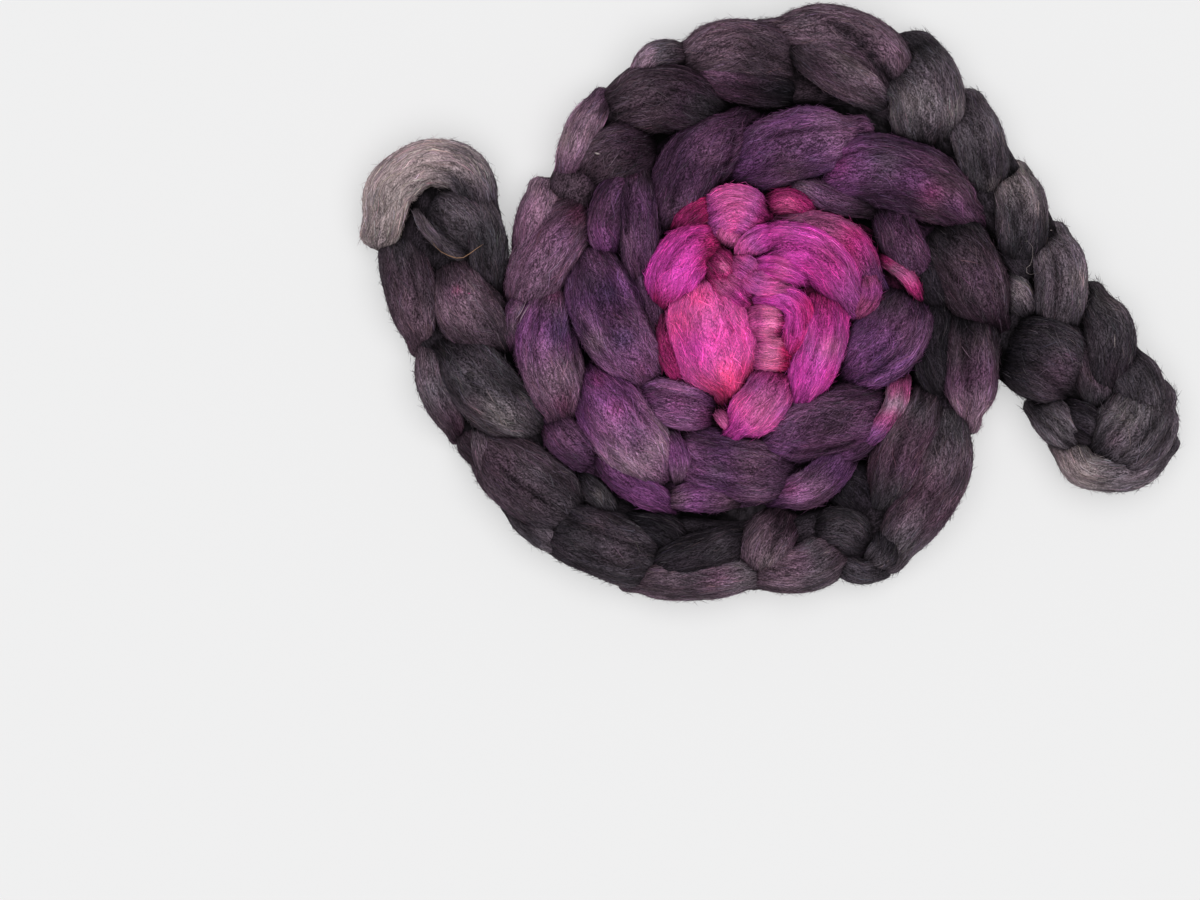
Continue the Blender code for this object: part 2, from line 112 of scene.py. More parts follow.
# ---------------------------------------------------------------------------------------------------------
# The right loose end is the tail of the right arm: loops of combed roving that come off the coil's top right
# and lie over one another, dyed charcoal and grey. Nothing but its own fibres holds a loop together.
#
# Each row is one loop that shows, from where it comes up to where it tucks under: its line in plan, full
# width, crest height, how far the crest sinks and the width left at each end, and its dyes from end to end.
# Creases are plan lines pressed into it. Touches are spots of another dye, and some are painted highlights
# and
# painted shade instead: place, reach, dye and strength.
Fold = namedtuple("Fold", "name line width crest sink narrow dyes creases touches", defaults=((), ()))
RIGHT_TAIL = (
    Fold("end_sweep", ((220, -105), (227, -117), (243, -121), (264, -119), (281, -104)), 25, 43, (12, 10),
         (0.8, 0.7), "ash ash smoke smoke slate",
         creases=(((212, -112), (222, -124), (240, -129)),),
         touches=(((216, -114), 8, "pale_ash", 0.7), ((226, -124), 8, "pale_ash", 0.6),
             ((221, -108), 4, "soot", 0.5))),
    Fold("end_loop", ((268, -71), (262, -90), (243, -110)), 54, 52, (8, 12), (0.7, 0.5),
         "slate slate slate charcoal",
         creases=(((262, -74), (252, -86), (242, -98)), ((280, -78), (268, -96), (250, -108)), ((286, -90),
             (272, -106), (252, -116))),
         touches=(((254, -82), 9, "ash", 0.5), ((268, -72), 8, "ash", 0.25), ((262, -106), 9, "smoke", 0.4),
             ((246, -98), 6, "cocoa", 0.4))),
    Fold("end_shoulder", ((257, -43), (264, -57), (268, -71), (270, -84)), 32, 46, (12, 6), (0.6, 0.8),
         "charcoal charcoal charcoal slate",
         touches=(((280, -66), 7, "smoke", 0.3),)),
    Fold("low_leg", ((199, -74), (209, -87), (221, -99)), 24, 40, (8, 8), (0.7, 0.6),
         "charcoal slate smoke slate",
         creases=(((194, -84), (206, -94), (218, -102)), ((200, -80), (212, -90), (224, -98)))),
    Fold("round_fold", ((180, -33), (200, -41), (220, -51)), 56, 48, (12, 10), (0.7, 0.65),
         "ink soot charcoal charcoal",
         creases=(((187, -45), (201, -57), (215, -67)),),
         touches=(((206, -57), 13, "mauve", 0.3), ((213, -43), 8, "plum", 0.15),
             ((191, -23), 12, "soot", 0.6))),
    Fold("under_leg", ((212, -80), (226, -87), (240, -95)), 26, 39, (6, 8), (0.7, 0.6), "ink soot charcoal"),
    Fold("tail_shade", ((226, -24), (233, -46), (238, -72)), 26, 38, (6, 6), (0.7, 0.7),
         "soot umber charcoal",
         touches=(((237, -52), 8, "plum_brown", 0.6),)),
    Fold("right_leg", ((235, -2), (244, -22), (245, -62)), 32, 45, (12, 10), (0.6, 0.6),
         "charcoal charcoal soot soot",
         touches=(((246, 2), 12, "ash", 0.35), ((238, -14), 9, "soot", 0.5),
             ((247, -52), 9, "plum_brown", 0.15))),
    Fold("ridged_fold", ((205, 40), (211, 19), (209, -12)), 33, 50, (14, 8), (0.75, 0.75),
         "smoke slate slate slate",
         creases=(((204, 30), (206, 10), (204, -10)),),
         touches=(((222, 14), 8, "ash", 0.5), ((206, 8), 7, "cocoa", 0.3))),
    Fold("small_fold", ((171, 14), (181, 5), (190, -9)), 21, 34, (3, 6), (0.8, 0.7),
         "charcoal smoke slate charcoal",
         touches=(((182, 6), 6, "ash", 0.5),)),
    Fold("grey_fold", ((177, 83), (183, 62), (183, 28)), 32, 48, (14, 12), (0.75, 0.6),
         "ash slate charcoal soot",
         creases=(((174, 62), (178, 46), (182, 34)),),
         touches=(((190, 66), 7, "ash", 0.5), ((176, 70), 8, "charcoal", 0.4), ((178, 34), 9, "ink", 0.4))),
    Fold("shaded_fold", ((168, 46), (180, 36), (192, 18)), 31, 35, (6, 6), (0.7, 0.6), "ink soot"),
    Fold("dark_fold", ((145, 131), (153, 110), (159, 78)), 34, 46, (10, 12), (0.9, 0.6),
         "slate slate charcoal charcoal",
         creases=(((152, 122), (156, 104), (157, 84)),),
         touches=(((164, 78), 6, "ash", 0.5), ((160, 100), 8, "soot", 0.4))),
    Fold("light_shoulder", ((105, 165), (115, 147), (119, 115)), 49, 52, (14, 12), (1.0, 0.7),
         "charcoal slate smoke slate",
         creases=(((124, 130), (124, 114), (126, 104)), ((112, 126), (114, 110))),
         touches=(((105, 138), 10, "ash", 0.5), ((134, 132), 8, "ash", 0.5), ((119, 148), 12, "cocoa", 0.3),
             ((127, 166), 8, "slate", 0.4))),
)
DYES = {
    "ink": (27, 24, 29), "soot": (38, 34, 39), "charcoal": (52, 48, 53), "slate": (72, 66, 72),
    "smoke": (90, 83, 89), "ash": (112, 104, 106), "pale_ash": (150, 138, 138), "black_plum": (42, 30, 40),
    "umber": (58, 47, 55), "plum_brown": (66, 48, 60), "cocoa": (82, 67, 77), "heather": (84, 60, 80),
    "mauve": (98, 72, 92), "pale_mauve": (128, 104, 120), "aubergine": (62, 41, 62), "plum": (75, 49, 72),
    "grape": (80, 50, 84), "violet": (96, 56, 96), "lilac": (120, 80, 116), "orchid": (150, 70, 134),
    "magenta": (164, 54, 132), "fuchsia": (186, 66, 157), "rose": (192, 83, 150), "blush": (200, 108, 154),
    "salmon": (210, 78, 134), "crimson": (184, 36, 96), "berry": (146, 40, 96), "wine": (112, 30, 74),
    "old_rose": (158, 76, 122), "dusty_rose": (128, 62, 100), "hot_pink": (214, 82, 166),
    "indigo": (60, 46, 72), "tan": (150, 116, 92),
}
# how a loop lies: its ends run on and tuck under, and its section is fuller than an ellipse
LINE_STEP = 1.5
FEWEST_STEPS = 24
SPAN_STEPS = 12
TUCK_SHARE = 0.13
LONGEST_TUCK = 13.0
CAP_LENGTH = 0.72
SECTION_POWER = 2.7
TALLEST_SHARE = 0.6
PRESSED = 4.0
FULLNESS = 1.08
FULLER_ENDS = 0.6
ABOVE_TABLE = 0.3
# length along the fibres, length across them and height of the uneven surface, from soft lumps to fine locks
LUMPS = ((30.0, 22.0, 1.6), (70.0, 7.0, 1.2), (45.0, 3.6, 0.5))
FOLD_OFFSET = 7.3
LAYER_OFFSET = 19.7
LUMPY_FROM = 8.0
CREASE_DEPTH = 3.0
CREASE_WIDTH = 1.8
# the mesh: its steps along and around, and how much closer its points lie on top
RING_STEP = 2.8
ROUND_STEP = 1.75
SPARE_SEGMENTS = 8
TOP_DENSITY = 0.72
CELL_MARGIN = 0.02
COMBED_SCALE = 0.01
COMBED_SHIFT = 3.7
# the dye: patches that are paler or darker, length along the fibres, length across them and strength
WOOL_BRIGHTNESS = 1.3
DYE_OFFSET = 5.3
WANDER = (30.0, 9.0, 0.12)
ROUND_PATCHES = (20.0, 8.0, 0.42)
LONG_PATCHES = (45.0, 3.0, 0.24)
WARM_PATCHES = (28.0, 12.0, 0.5)
WARMTH = np.array([0.09, -0.03, 0.02])
RAGGED_TOUCH = (16.0, 4.0, 0.5)
# painted shade: grooves darker and ridges paler, creases darker, and each end darker where it dives under
GROOVE_SHADE = 0.10
CREASE_SHADE = 0.5
DIVING = (0.65, 1.15)
DIVING_SHADE = 0.32
# the wool's shader: how strongly each kind of streak shows, and the ridges between locks, in metres
WOOL_ROUGHNESS = 0.9
WOOL_GLOSS = 0.08
STREAK_LEAN = 0.3
FINE_TONE = 3.0
LEANING_TONE = 2.1
FRIZZ_TONE = 3.4
BROAD_TONE = 0.9
DARKEST_TONE = 0.3
RIDGE_STRENGTH = 0.8
RIDGE_HEIGHT = 0.0010
# how far patches and streaks show on dark, middling and bright dyes
BRIGHT_DYE = (0.02, 0.12, 0.35)
STREAK_SHARE = (1.65, 1.95, 0.9)
PATCH_SHARE = (1.0, 0.8, 0.4)
# the random knots behind every uneven field, and the folds laid so far
KNOT_COUNT = 64
KNOTS = np.random.default_rng(7).uniform(-1.0, 1.0, (KNOT_COUNT, KNOT_COUNT))
Laid = namedtuple("Laid", "fold number along line_length place heading section")
laid_folds = []


def dye_colour(name):
    """A dye's linear colour."""
    share = np.array(DYES[name]) / 255.0
    return np.where(share <= 0.04045, share / 12.92, ((share + 0.055) / 1.055) ** 2.4)


def uneven(u, v):
    """A smooth random field with one knot a unit, between about -1 and 1."""
    column = np.floor(u).astype(int)
    row = np.floor(v).astype(int)
    across = u - column
    down = v - row
    across = across * across * (3.0 - 2.0 * across)
    down = down * down * (3.0 - 2.0 * down)
    left, right = column % KNOT_COUNT, (column + 1) % KNOT_COUNT
    near, far = row % KNOT_COUNT, (row + 1) % KNOT_COUNT
    nearer = KNOTS[left, near] * (1.0 - across) + KNOTS[right, near] * across
    farther = KNOTS[left, far] * (1.0 - across) + KNOTS[right, far] * across
    return nearer * (1.0 - down) + farther * down


def mean_radius(fold):
    """How far round the fold one radian goes."""
    return 0.25 * (fold.width + fold.crest)


def smooth_line(points):
    """A smooth line through plan points, as close samples."""
    points = np.array(points, float)
    ends = np.vstack([2.0 * points[0] - points[1], points, 2.0 * points[-1] - points[-2]])
    u = np.linspace(0.0, 1.0, SPAN_STEPS, endpoint=False)[:, None]
    spans = []
    for p0, p1, p2, p3 in zip(ends, ends[1:], ends[2:], ends[3:]):
        square = (2.0 * p0 - 5.0 * p1 + 4.0 * p2 - p3) * (0.5 * u ** 2)
        cubic = (3.0 * p1 - p0 - 3.0 * p2 + p3) * (0.5 * u ** 3)
        spans.append(p1 + (p2 - p0) * (0.5 * u) + square + cubic)
    return np.vstack(spans + [points[-1:]])


def lay(fold, number):
    """The fold as it lies: its place, heading and section at close steps from end to end.

    The section is the level of its widest part, half its width, and how far it reaches up and down from that
    level.
    """
    samples = smooth_line(fold.line)
    legs = np.diff(samples, axis=0)
    walked = np.concatenate([[0.0], np.cumsum(np.hypot(*legs.T))])
    line_length = walked[-1]
    tuck = min(TUCK_SHARE, LONGEST_TUCK / line_length)
    caps = [0.5 * CAP_LENGTH * fold.width * narrow ** FULLER_ENDS for narrow in fold.narrow]
    start = -tuck * line_length - caps[0]
    end = (1.0 + tuck) * line_length + caps[1]
    along = np.linspace(start, end, max(FEWEST_STEPS, round((end - start) / LINE_STEP)))
    first = legs[0] / np.hypot(*legs[0])
    last = legs[-1] / np.hypot(*legs[-1])
    before = np.minimum(along, 0.0)[:, None]
    beyond = np.maximum(along - line_length, 0.0)[:, None]
    place = np.stack([np.interp(along, walked, samples[:, axis]) for axis in (0, 1)], axis=1)
    place += before * first + beyond * last
    heading = np.gradient(place, along, axis=0)
    heading /= np.hypot(*heading.T)[:, None]
    share = np.clip(along / line_length, -tuck, 1.0 + tuck)
    side = (share >= 0.5).astype(int)
    off_middle = np.abs(2.0 * share - 1.0)
    narrow = np.array(fold.narrow)[side] ** FULLER_ENDS
    swell = 1.0 - (1.0 - narrow) * np.minimum(off_middle, 1.0) ** 3
    top = fold.crest - np.array(fold.sink)[side] * off_middle ** 3
    half_height = np.minimum(0.5 * (top + PRESSED), TALLEST_SHARE * fold.width)
    from_end = np.minimum((along - start) / caps[0], (end - along) / caps[1])
    shrink = np.sqrt(np.clip(1.0 - (1.0 - np.clip(from_end, 0.0, 1.0)) ** 2, 0.0, 1.0))
    half_width = 0.5 * FULLNESS * fold.width * swell * shrink
    middle = top - half_height
    section = (middle, half_width, half_height * shrink, (middle + PRESSED) * shrink)
    return Laid(fold, number, along, line_length, place, heading, section)


def push_out(value):
    """A sine or cosine pushed out, so that a section is fuller than an ellipse."""
    return np.sign(value) * np.abs(value) ** (2.0 / SECTION_POWER)


def creased(fold, plan):
    """How far into one of the fold's creases each plan point lies, from 0 to 1."""
    depth = np.zeros(plan.shape[:-1])
    for crease in fold.creases:
        for first, last in zip(crease, crease[1:]):
            leg = np.subtract(last, first)
            share = np.clip(((plan - first) @ leg) / (leg @ leg), 0.0, 1.0)
            gap = plan - (first + share[..., None] * leg)
            depth = np.maximum(depth, np.exp(-(gap ** 2).sum(axis=-1) / CREASE_WIDTH ** 2))
    return depth


def relief(laid, along, angle):
    """How far the surface stands proud of the plain section."""
    around = angle * mean_radius(laid.fold)
    height = np.zeros(np.broadcast(along, angle).shape)
    for layer, (long, wide, tall) in enumerate(LUMPS):
        offset = FOLD_OFFSET * laid.number + LAYER_OFFSET * layer
        height += tall * uneven(along / long + offset, around / wide + offset)
    return height


def on_fold(laid, along, angle, proud=0.0):
    """Points on the fold's surface, or proud of it, and which way is out."""
    along, angle = np.broadcast_arrays(along, angle)
    x, y, ahead, aside, middle, half_width, half_height, low_height = [
        np.interp(along, laid.along, values)
        for values in (*laid.place.T, *laid.heading.T, *laid.section)
    ]
    place = np.stack([x, y], axis=-1)
    across = np.stack([aside, -ahead], axis=-1)
    side = np.cos(angle)
    up = np.sin(angle)
    height = relief(laid, along, angle) * np.clip(half_width / LUMPY_FROM, 0.0, 1.0) + proud
    lateral = half_width * push_out(side) + height * side
    level = middle + np.where(up < 0.0, low_height, half_height) * push_out(up) + height * up
    point = np.concatenate([place + across * lateral[..., None], level[..., None]], axis=-1)
    out = np.concatenate([across * side[..., None], up[..., None]], axis=-1)
    if laid.fold.creases:
        point[..., 2] -= CREASE_DEPTH * creased(laid.fold, point[..., :2]) * np.clip(2.0 * up, 0.0, 1.0)
    point[..., 2] = np.maximum(point[..., 2], ABOVE_TABLE)
    return point, out


def dyed_and_shaded(laid, along, angle, point):
    """The fold's dye in linear colour, with painted shade in grooves, creases and ends and painted light on
    ridges.
    """
    colours = np.array([dye_colour(name) for name in laid.fold.dyes.split()])
    stops = np.linspace(0.0, 1.0, len(colours))
    seed = DYE_OFFSET * laid.number
    around = angle * mean_radius(laid.fold)
    wander = WANDER[2] * uneven(around / WANDER[1] + seed, along / WANDER[0])
    share = along / laid.line_length + wander
    colour = np.stack([np.interp(share, stops, colours[:, band]) for band in range(3)], axis=-1)
    softer = np.interp(colour.mean(axis=-1), BRIGHT_DYE, PATCH_SHARE)
    bright = ROUND_PATCHES[2] * uneven(along / ROUND_PATCHES[0] + seed, around / ROUND_PATCHES[1] + seed)
    bright = bright + LONG_PATCHES[2] * uneven(along / LONG_PATCHES[0], around / LONG_PATCHES[1] + seed)
    bright = np.exp(bright * softer)
    warm = WARM_PATCHES[2] * uneven(along / WARM_PATCHES[0] - seed, around / WARM_PATCHES[1] + 3.0 * seed)
    warm = (0.5 + warm)[..., None] * WARMTH
    # painted shade in the grooves between lumps, and painted light on their ridges
    grooves = 1.0 + GROOVE_SHADE * relief(laid, along, angle)
    # painted shade towards each end, where the loop dives under its neighbour
    dives = np.abs(2.0 * along / laid.line_length - 1.0)
    bright = bright * (1.0 - DIVING_SHADE * np.clip((dives - DIVING[0]) / (DIVING[1] - DIVING[0]), 0.0, 1.0))
    ragged = 1.0 + RAGGED_TOUCH[2] * uneven(along / RAGGED_TOUCH[0] + seed, around / RAGGED_TOUCH[1] + seed)
    # spots of another dye, and painted highlights and painted shade
    for place, reach, dye, strength in laid.fold.touches:
        gap = ((point[..., :2] - place) ** 2).sum(axis=-1) / reach ** 2
        part = strength * np.exp(-gap * ragged)
        colour = colour + part[..., None] * (dye_colour(dye) - colour)
    # painted shade in the creases
    if laid.fold.creases:
        softer = np.interp(colour.mean(axis=-1), BRIGHT_DYE, PATCH_SHARE)
        bright = bright * (1.0 - CREASE_SHADE * softer * creased(laid.fold, point[..., :2]))
    return WOOL_BRIGHTNESS * colour * (1.0 + warm) * (bright * grooves)[..., None]


def write_dye_and_shading(mesh, colours):
    """Stores each point's dye with its painted shade and highlights. Its alpha says how strongly paler and
    darker fibres streak it.
    """
    mesh.color_attributes.new("dye", "FLOAT_COLOR", "POINT")
    streaked = np.interp(colours.mean(axis=1), BRIGHT_DYE, STREAK_SHARE)[:, None]
    filled = np.concatenate([colours, streaked], axis=1)
    mesh.color_attributes["dye"].data.foreach_set("color", filled.astype(np.float32).ravel())


def fold_mesh(laid, cell, cells, coarse):
    """A round blank, bent and swollen into the fold, in its own cell of the flat layout."""
    fold = laid.fold
    rings = round((laid.along[-1] - laid.along[0]) / RING_STEP / coarse)
    segments = 2 * round((math.pi * mean_radius(fold) / ROUND_STEP + SPARE_SEGMENTS) / 2 / coarse)
    bpy.ops.mesh.primitive_uv_sphere_add(segments=segments, ring_count=rings)
    item = bpy.context.object
    item.name = fold.name
    mesh = item.data
    corners = np.empty(len(mesh.loops), int)
    mesh.loops.foreach_get("vertex_index", corners)
    layout = np.empty(2 * len(mesh.loops))
    mesh.uv_layers.active.uv.foreach_get("vector", layout)
    layout = layout.reshape(-1, 2)
    turn = 2.0 * math.pi * (layout[:, 0] - 0.5)
    turn *= TOP_DENSITY + (1.0 - TOP_DENSITY) * np.abs(turn / math.pi) ** 3
    corner_angle = 0.5 * math.pi - turn
    corner_along = laid.along[0] + (laid.along[-1] - laid.along[0]) * layout[:, 1]
    angle = np.empty(len(mesh.vertices))
    along = np.empty(len(mesh.vertices))
    angle[corners] = corner_angle
    along[corners] = corner_along
    points, _ = on_fold(laid, along, angle)
    mesh.vertices.foreach_set("co", (points * MM).astype(np.float32).ravel())
    write_dye_and_shading(mesh, dyed_and_shaded(laid, along, angle, points))
    combed = np.stack([corner_angle * mean_radius(fold), corner_along], axis=1) * COMBED_SCALE
    combed += COMBED_SHIFT * laid.number
    mesh.uv_layers.new(name="combed").uv.foreach_set("vector", combed.astype(np.float32).ravel())
    inside = CELL_MARGIN + (1.0 - 2.0 * CELL_MARGIN) * layout
    flat = (inside + np.array([cell % cells, cell // cells])) / cells
    mesh.uv_layers[0].uv.foreach_set("vector", flat.astype(np.float32).ravel())
    mesh.uv_layers[0].name = "OFBake"
    mesh.shade_smooth()
    return item


class Shade:
    """One output of a shader node. Arithmetic on it adds Math nodes."""

    def __init__(self, tree, output):
        self.tree = tree
        self.output = output

    def node(self, kind, settings, sockets, output=0):
        """A new node with these settings and sockets, as a Shade of one of its outputs."""
        made = self.tree.nodes.new(kind)
        for name, value in settings.items():
            setattr(made, name, value)
        for name, value in sockets.items():
            if isinstance(value, Shade):
                self.tree.links.new(value.output, made.inputs[name])
            else:
                made.inputs[name].default_value = value
        return Shade(self.tree, made.outputs[output])

    def maths(self, operation, first, second):
        """A Math node on two Shades or numbers."""
        return self.node("ShaderNodeMath", {"operation": operation}, {0: first, 1: second})

    def __add__(self, other):
        return self.maths("ADD", self, other)

    def __radd__(self, other):
        return self.maths("ADD", other, self)

    def __sub__(self, other):
        return self.maths("SUBTRACT", self, other)

    def __mul__(self, other):
        return self.maths("MULTIPLY", self, other)

    def __rmul__(self, other):
        return self.maths("MULTIPLY", other, self)

    def scaled(self, factor):
        """This colour or vector times a number."""
        return self.node("ShaderNodeVectorMath", {"operation": "SCALE"}, {0: self, "Scale": factor})

    def stretched(self, scale):
        """These coordinates at another scale."""
        return self.node("ShaderNodeMapping", {}, {0: self, "Scale": scale})

    def turned(self, angle):
        """These coordinates turned in their plane."""
        return self.node("ShaderNodeMapping", {}, {0: self, "Rotation": (0.0, 0.0, angle)})

    def noise(self, detail, roughness):
        """A noise at these coordinates, one cell a unit."""
        sockets = {0: self, "Scale": 1.0, "Detail": detail, "Roughness": roughness}
        return self.node("ShaderNodeTexNoise", {}, sockets)

    def feed(self, socket):
        """Joins this to a shader's socket."""
        self.tree.links.new(self.output, socket)


def new_finish(name, roughness):
    """A dull wool material: its shader's sockets, and the dye with its painted shade and highlights as a
    Shade.
    """
    finish = bpy.data.materials.new(name)
    finish.use_nodes = True
    tree = finish.node_tree
    sockets = tree.nodes["Principled BSDF"].inputs
    sockets["Roughness"].default_value = roughness
    sockets["Specular IOR Level"].default_value = WOOL_GLOSS
    dye = tree.nodes.new("ShaderNodeVertexColor")
    dye.layer_name = "dye"
    return finish, sockets, Shade(tree, dye.outputs["Color"])


def combed_finish():
    """Packed fibres all lying one way: streaks of darker and paler fibre, and fine ridges between locks."""
    finish, sockets, dye = new_finish("combed_wool", WOOL_ROUGHNESS)
    combed = dye.node("ShaderNodeUVMap", {"uv_map": "combed"}, {})
    fine = combed.stretched((130.0, 8.0, 1.0)).noise(4.0, 0.75)
    left = combed.turned(STREAK_LEAN).stretched((110.0, 16.0, 1.0)).noise(3.0, 0.7)
    right = combed.turned(-STREAK_LEAN).stretched((110.0, 16.0, 1.0)).noise(3.0, 0.7)
    frizz = combed.stretched((120.0, 70.0, 1.0)).noise(3.0, 0.8)
    broad = combed.stretched((22.0, 1.2, 1.0)).noise(2.0, 0.5)
    tone = FINE_TONE * (fine - 0.5) + LEANING_TONE * (left - 0.5) + LEANING_TONE * (right - 0.5)
    tone = tone + FRIZZ_TONE * (frizz - 0.5) + BROAD_TONE * (broad - 0.5)
    streaked = dye.node("ShaderNodeVertexColor", {"layer_name": "dye"}, {}, 1)
    tone = 1.0 + streaked * tone
    dye.scaled(tone.maths("MAXIMUM", tone, DARKEST_TONE)).feed(sockets["Base Color"])
    ridges = {"Strength": RIDGE_STRENGTH, "Distance": RIDGE_HEIGHT, "Height": fine + 0.5 * broad}
    dye.node("ShaderNodeBump", {}, ridges).feed(sockets["Normal"])
    return finish


combed_wool = combed_finish()


def join_coil(piece, finish):
    """Gives a piece its finish, and dresses the coil with it."""
    piece.data.materials.append(finish)
    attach(piece, "root")
    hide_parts("braid_coil")


def make_folds(name, folds, coarse=1.0):
    """One piece of wool: its folds laid over one another."""
    pieces = []
    cells = math.ceil(math.sqrt(len(folds)))
    for cell, fold in enumerate(folds):
        laid = lay(fold, len(laid_folds))
        laid_folds.append((name, laid))
        pieces.append(fold_mesh(laid, cell, cells, coarse))
    bpy.ops.object.select_all(action="DESELECT")
    for piece in pieces:
        piece.select_set(True)
    bpy.context.view_layer.objects.active = pieces[0]
    bpy.ops.object.join()
    wool = bpy.context.object
    wool.name = name
    join_coil(wool, combed_wool)


make_folds("right_tail", RIGHT_TAIL)

# ---------------------------------------------------------------------------------------------------------
# The right arm's outer turn runs from the top right round the top to the left side. The same combed wool goes
# from plum brown to mauve there, and each loop lies tucked under the next.
RIGHT_OUTER = (
    Fold("top_upper", ((14, 187), (50, 188), (83, 174), (96, 152)), 36, 50, (12, 12), (0.5, 0.7),
         "cocoa cocoa cocoa umber",
         creases=(((36, 196), (54, 189), (66, 179), (78, 166), (93, 150)), ((44, 196), (60, 188), (72, 178),
             (84, 164))),
         # the row of ink touches along the groove between the two loops is painted shade
         touches=(((86, 172), 11, "mauve", 0.2), ((30, 194), 8, "slate", 0.4), ((52, 190), 4, "ink", 0.7),
             ((60, 184), 5, "ink", 0.9), ((69, 177), 5, "ink", 0.9), ((77, 169), 5, "ink", 0.9),
             ((85, 161), 5, "ink", 0.9), ((93, 152), 6, "ink", 0.9))),
    Fold("top_lower", ((20, 184), (50, 164), (88, 142)), 31, 47, (12, 14), (0.45, 0.6),
         "soot umber cocoa charcoal",
         touches=(((58, 172), 8, "ash", 0.4), ((70, 162), 8, "ash", 0.4), ((78, 150), 10, "pale_mauve", 0.35),
             ((44, 160), 8, "mauve", 0.3), ((34, 170), 7, "umber", 0.6))),
    Fold("long_upper", ((-48, 168), (-14, 176), (22, 166)), 40, 49, (12, 16), (0.5, 0.6),
         "cocoa cocoa umber umber"),
    Fold("long_lower", ((-44, 160), (-18, 152), (20, 146)), 25, 44, (10, 12), (0.5, 0.6),
         "heather black_plum ink",
         touches=(((-32, 156), 9, "mauve", 0.25),)),
    Fold("left_cap", ((-85, 156), (-73, 169), (-54, 173)), 20, 42, (12, 8), (0.6, 0.6),
         "pale_mauve slate umber",
         touches=(((-78, 174), 5, "pale_mauve", 0.6), ((-62, 170), 6, "soot", 0.7))),
    Fold("left_top", ((-97, 134), (-67, 142), (-32, 132)), 46, 50, (12, 14), (0.55, 0.6),
         "umber umber black_plum soot",
         creases=(((-106, 128), (-92, 133), (-76, 137), (-58, 146)), ((-110, 120), (-96, 121), (-84, 117))),
         touches=(((-90, 148), 10, "cocoa", 0.5),)),
    Fold("left_shade", ((-117, 84), (-106, 95), (-76, 107)), 46, 46, (12, 14), (0.8, 0.5),
         "umber umber black_plum black_plum",
         touches=(((-134, 92), 8, "mauve", 0.15), ((-112, 88), 9, "plum_brown", 0.15))),
    Fold("left_sliver", ((-112, 138), (-122, 123), (-130, 104), (-135, 90)), 23, 44, (10, 12), (0.6, 0.5),
         "heather pale_mauve pale_mauve mauve",
         touches=(((-137, 112), 6, "pale_ash", 0.45), ((-130, 128), 6, "pale_mauve", 0.4),
             ((-118, 116), 6, "umber", 0.5), ((-110, 132), 6, "umber", 0.7))),
    Fold("left_edge", ((-151, 73), (-157, 50), (-161, 24)), 29, 43, (10, 10), (0.7, 0.7),
         "pale_mauve mauve mauve mauve",
         touches=(((-156, 58), 9, "pale_mauve", 0.5),)),
    Fold("left_grey", ((-126, 61), (-145, 40), (-166, -4)), 43, 48, (12, 12), (0.6, 0.42),
         "plum_brown mauve mauve",
         touches=(((-137, 44), 11, "violet", 0.3), ((-128, 58), 7, "wine", 0.3),
             ((-128, 50), 8, "umber", 0.5))),
    Fold("left_lilac", ((-144, 4), (-150, -34), (-137, -78)), 44, 51, (12, 12), (0.5, 0.42),
         "heather violet mauve mauve",
         creases=(((-133, -12), (-131, -30), (-128, -48)),),
         touches=(((-160, -34), 10, "lilac", 0.5), ((-160, -12), 9, "violet", 0.4),
             ((-139, -22), 12, "indigo", 0.85), ((-142, -54), 12, "pale_mauve", 0.6),
             ((-138, -74), 7, "wine", 0.3), ((-144, 4), 6, "wine", 0.3))),
    Fold("left_tuft", ((-165, 2), (-171, -14), (-170, -34)), 17, 40, (6, 8), (0.6, 0.6),
         "plum plum umber plum",
         touches=(((-167, -8), 4, "pale_ash", 0.2),)),
    Fold("low_small", ((-142, -86), (-132, -98), (-112, -113)), 31, 42, (8, 14), (0.7, 0.5),
         "plum plum aubergine aubergine",
         touches=(((-133, -93), 8, "mauve", 0.3), ((-142, -106), 6, "aubergine", 0.6))),
)
make_folds("right_outer_turn", RIGHT_OUTER)

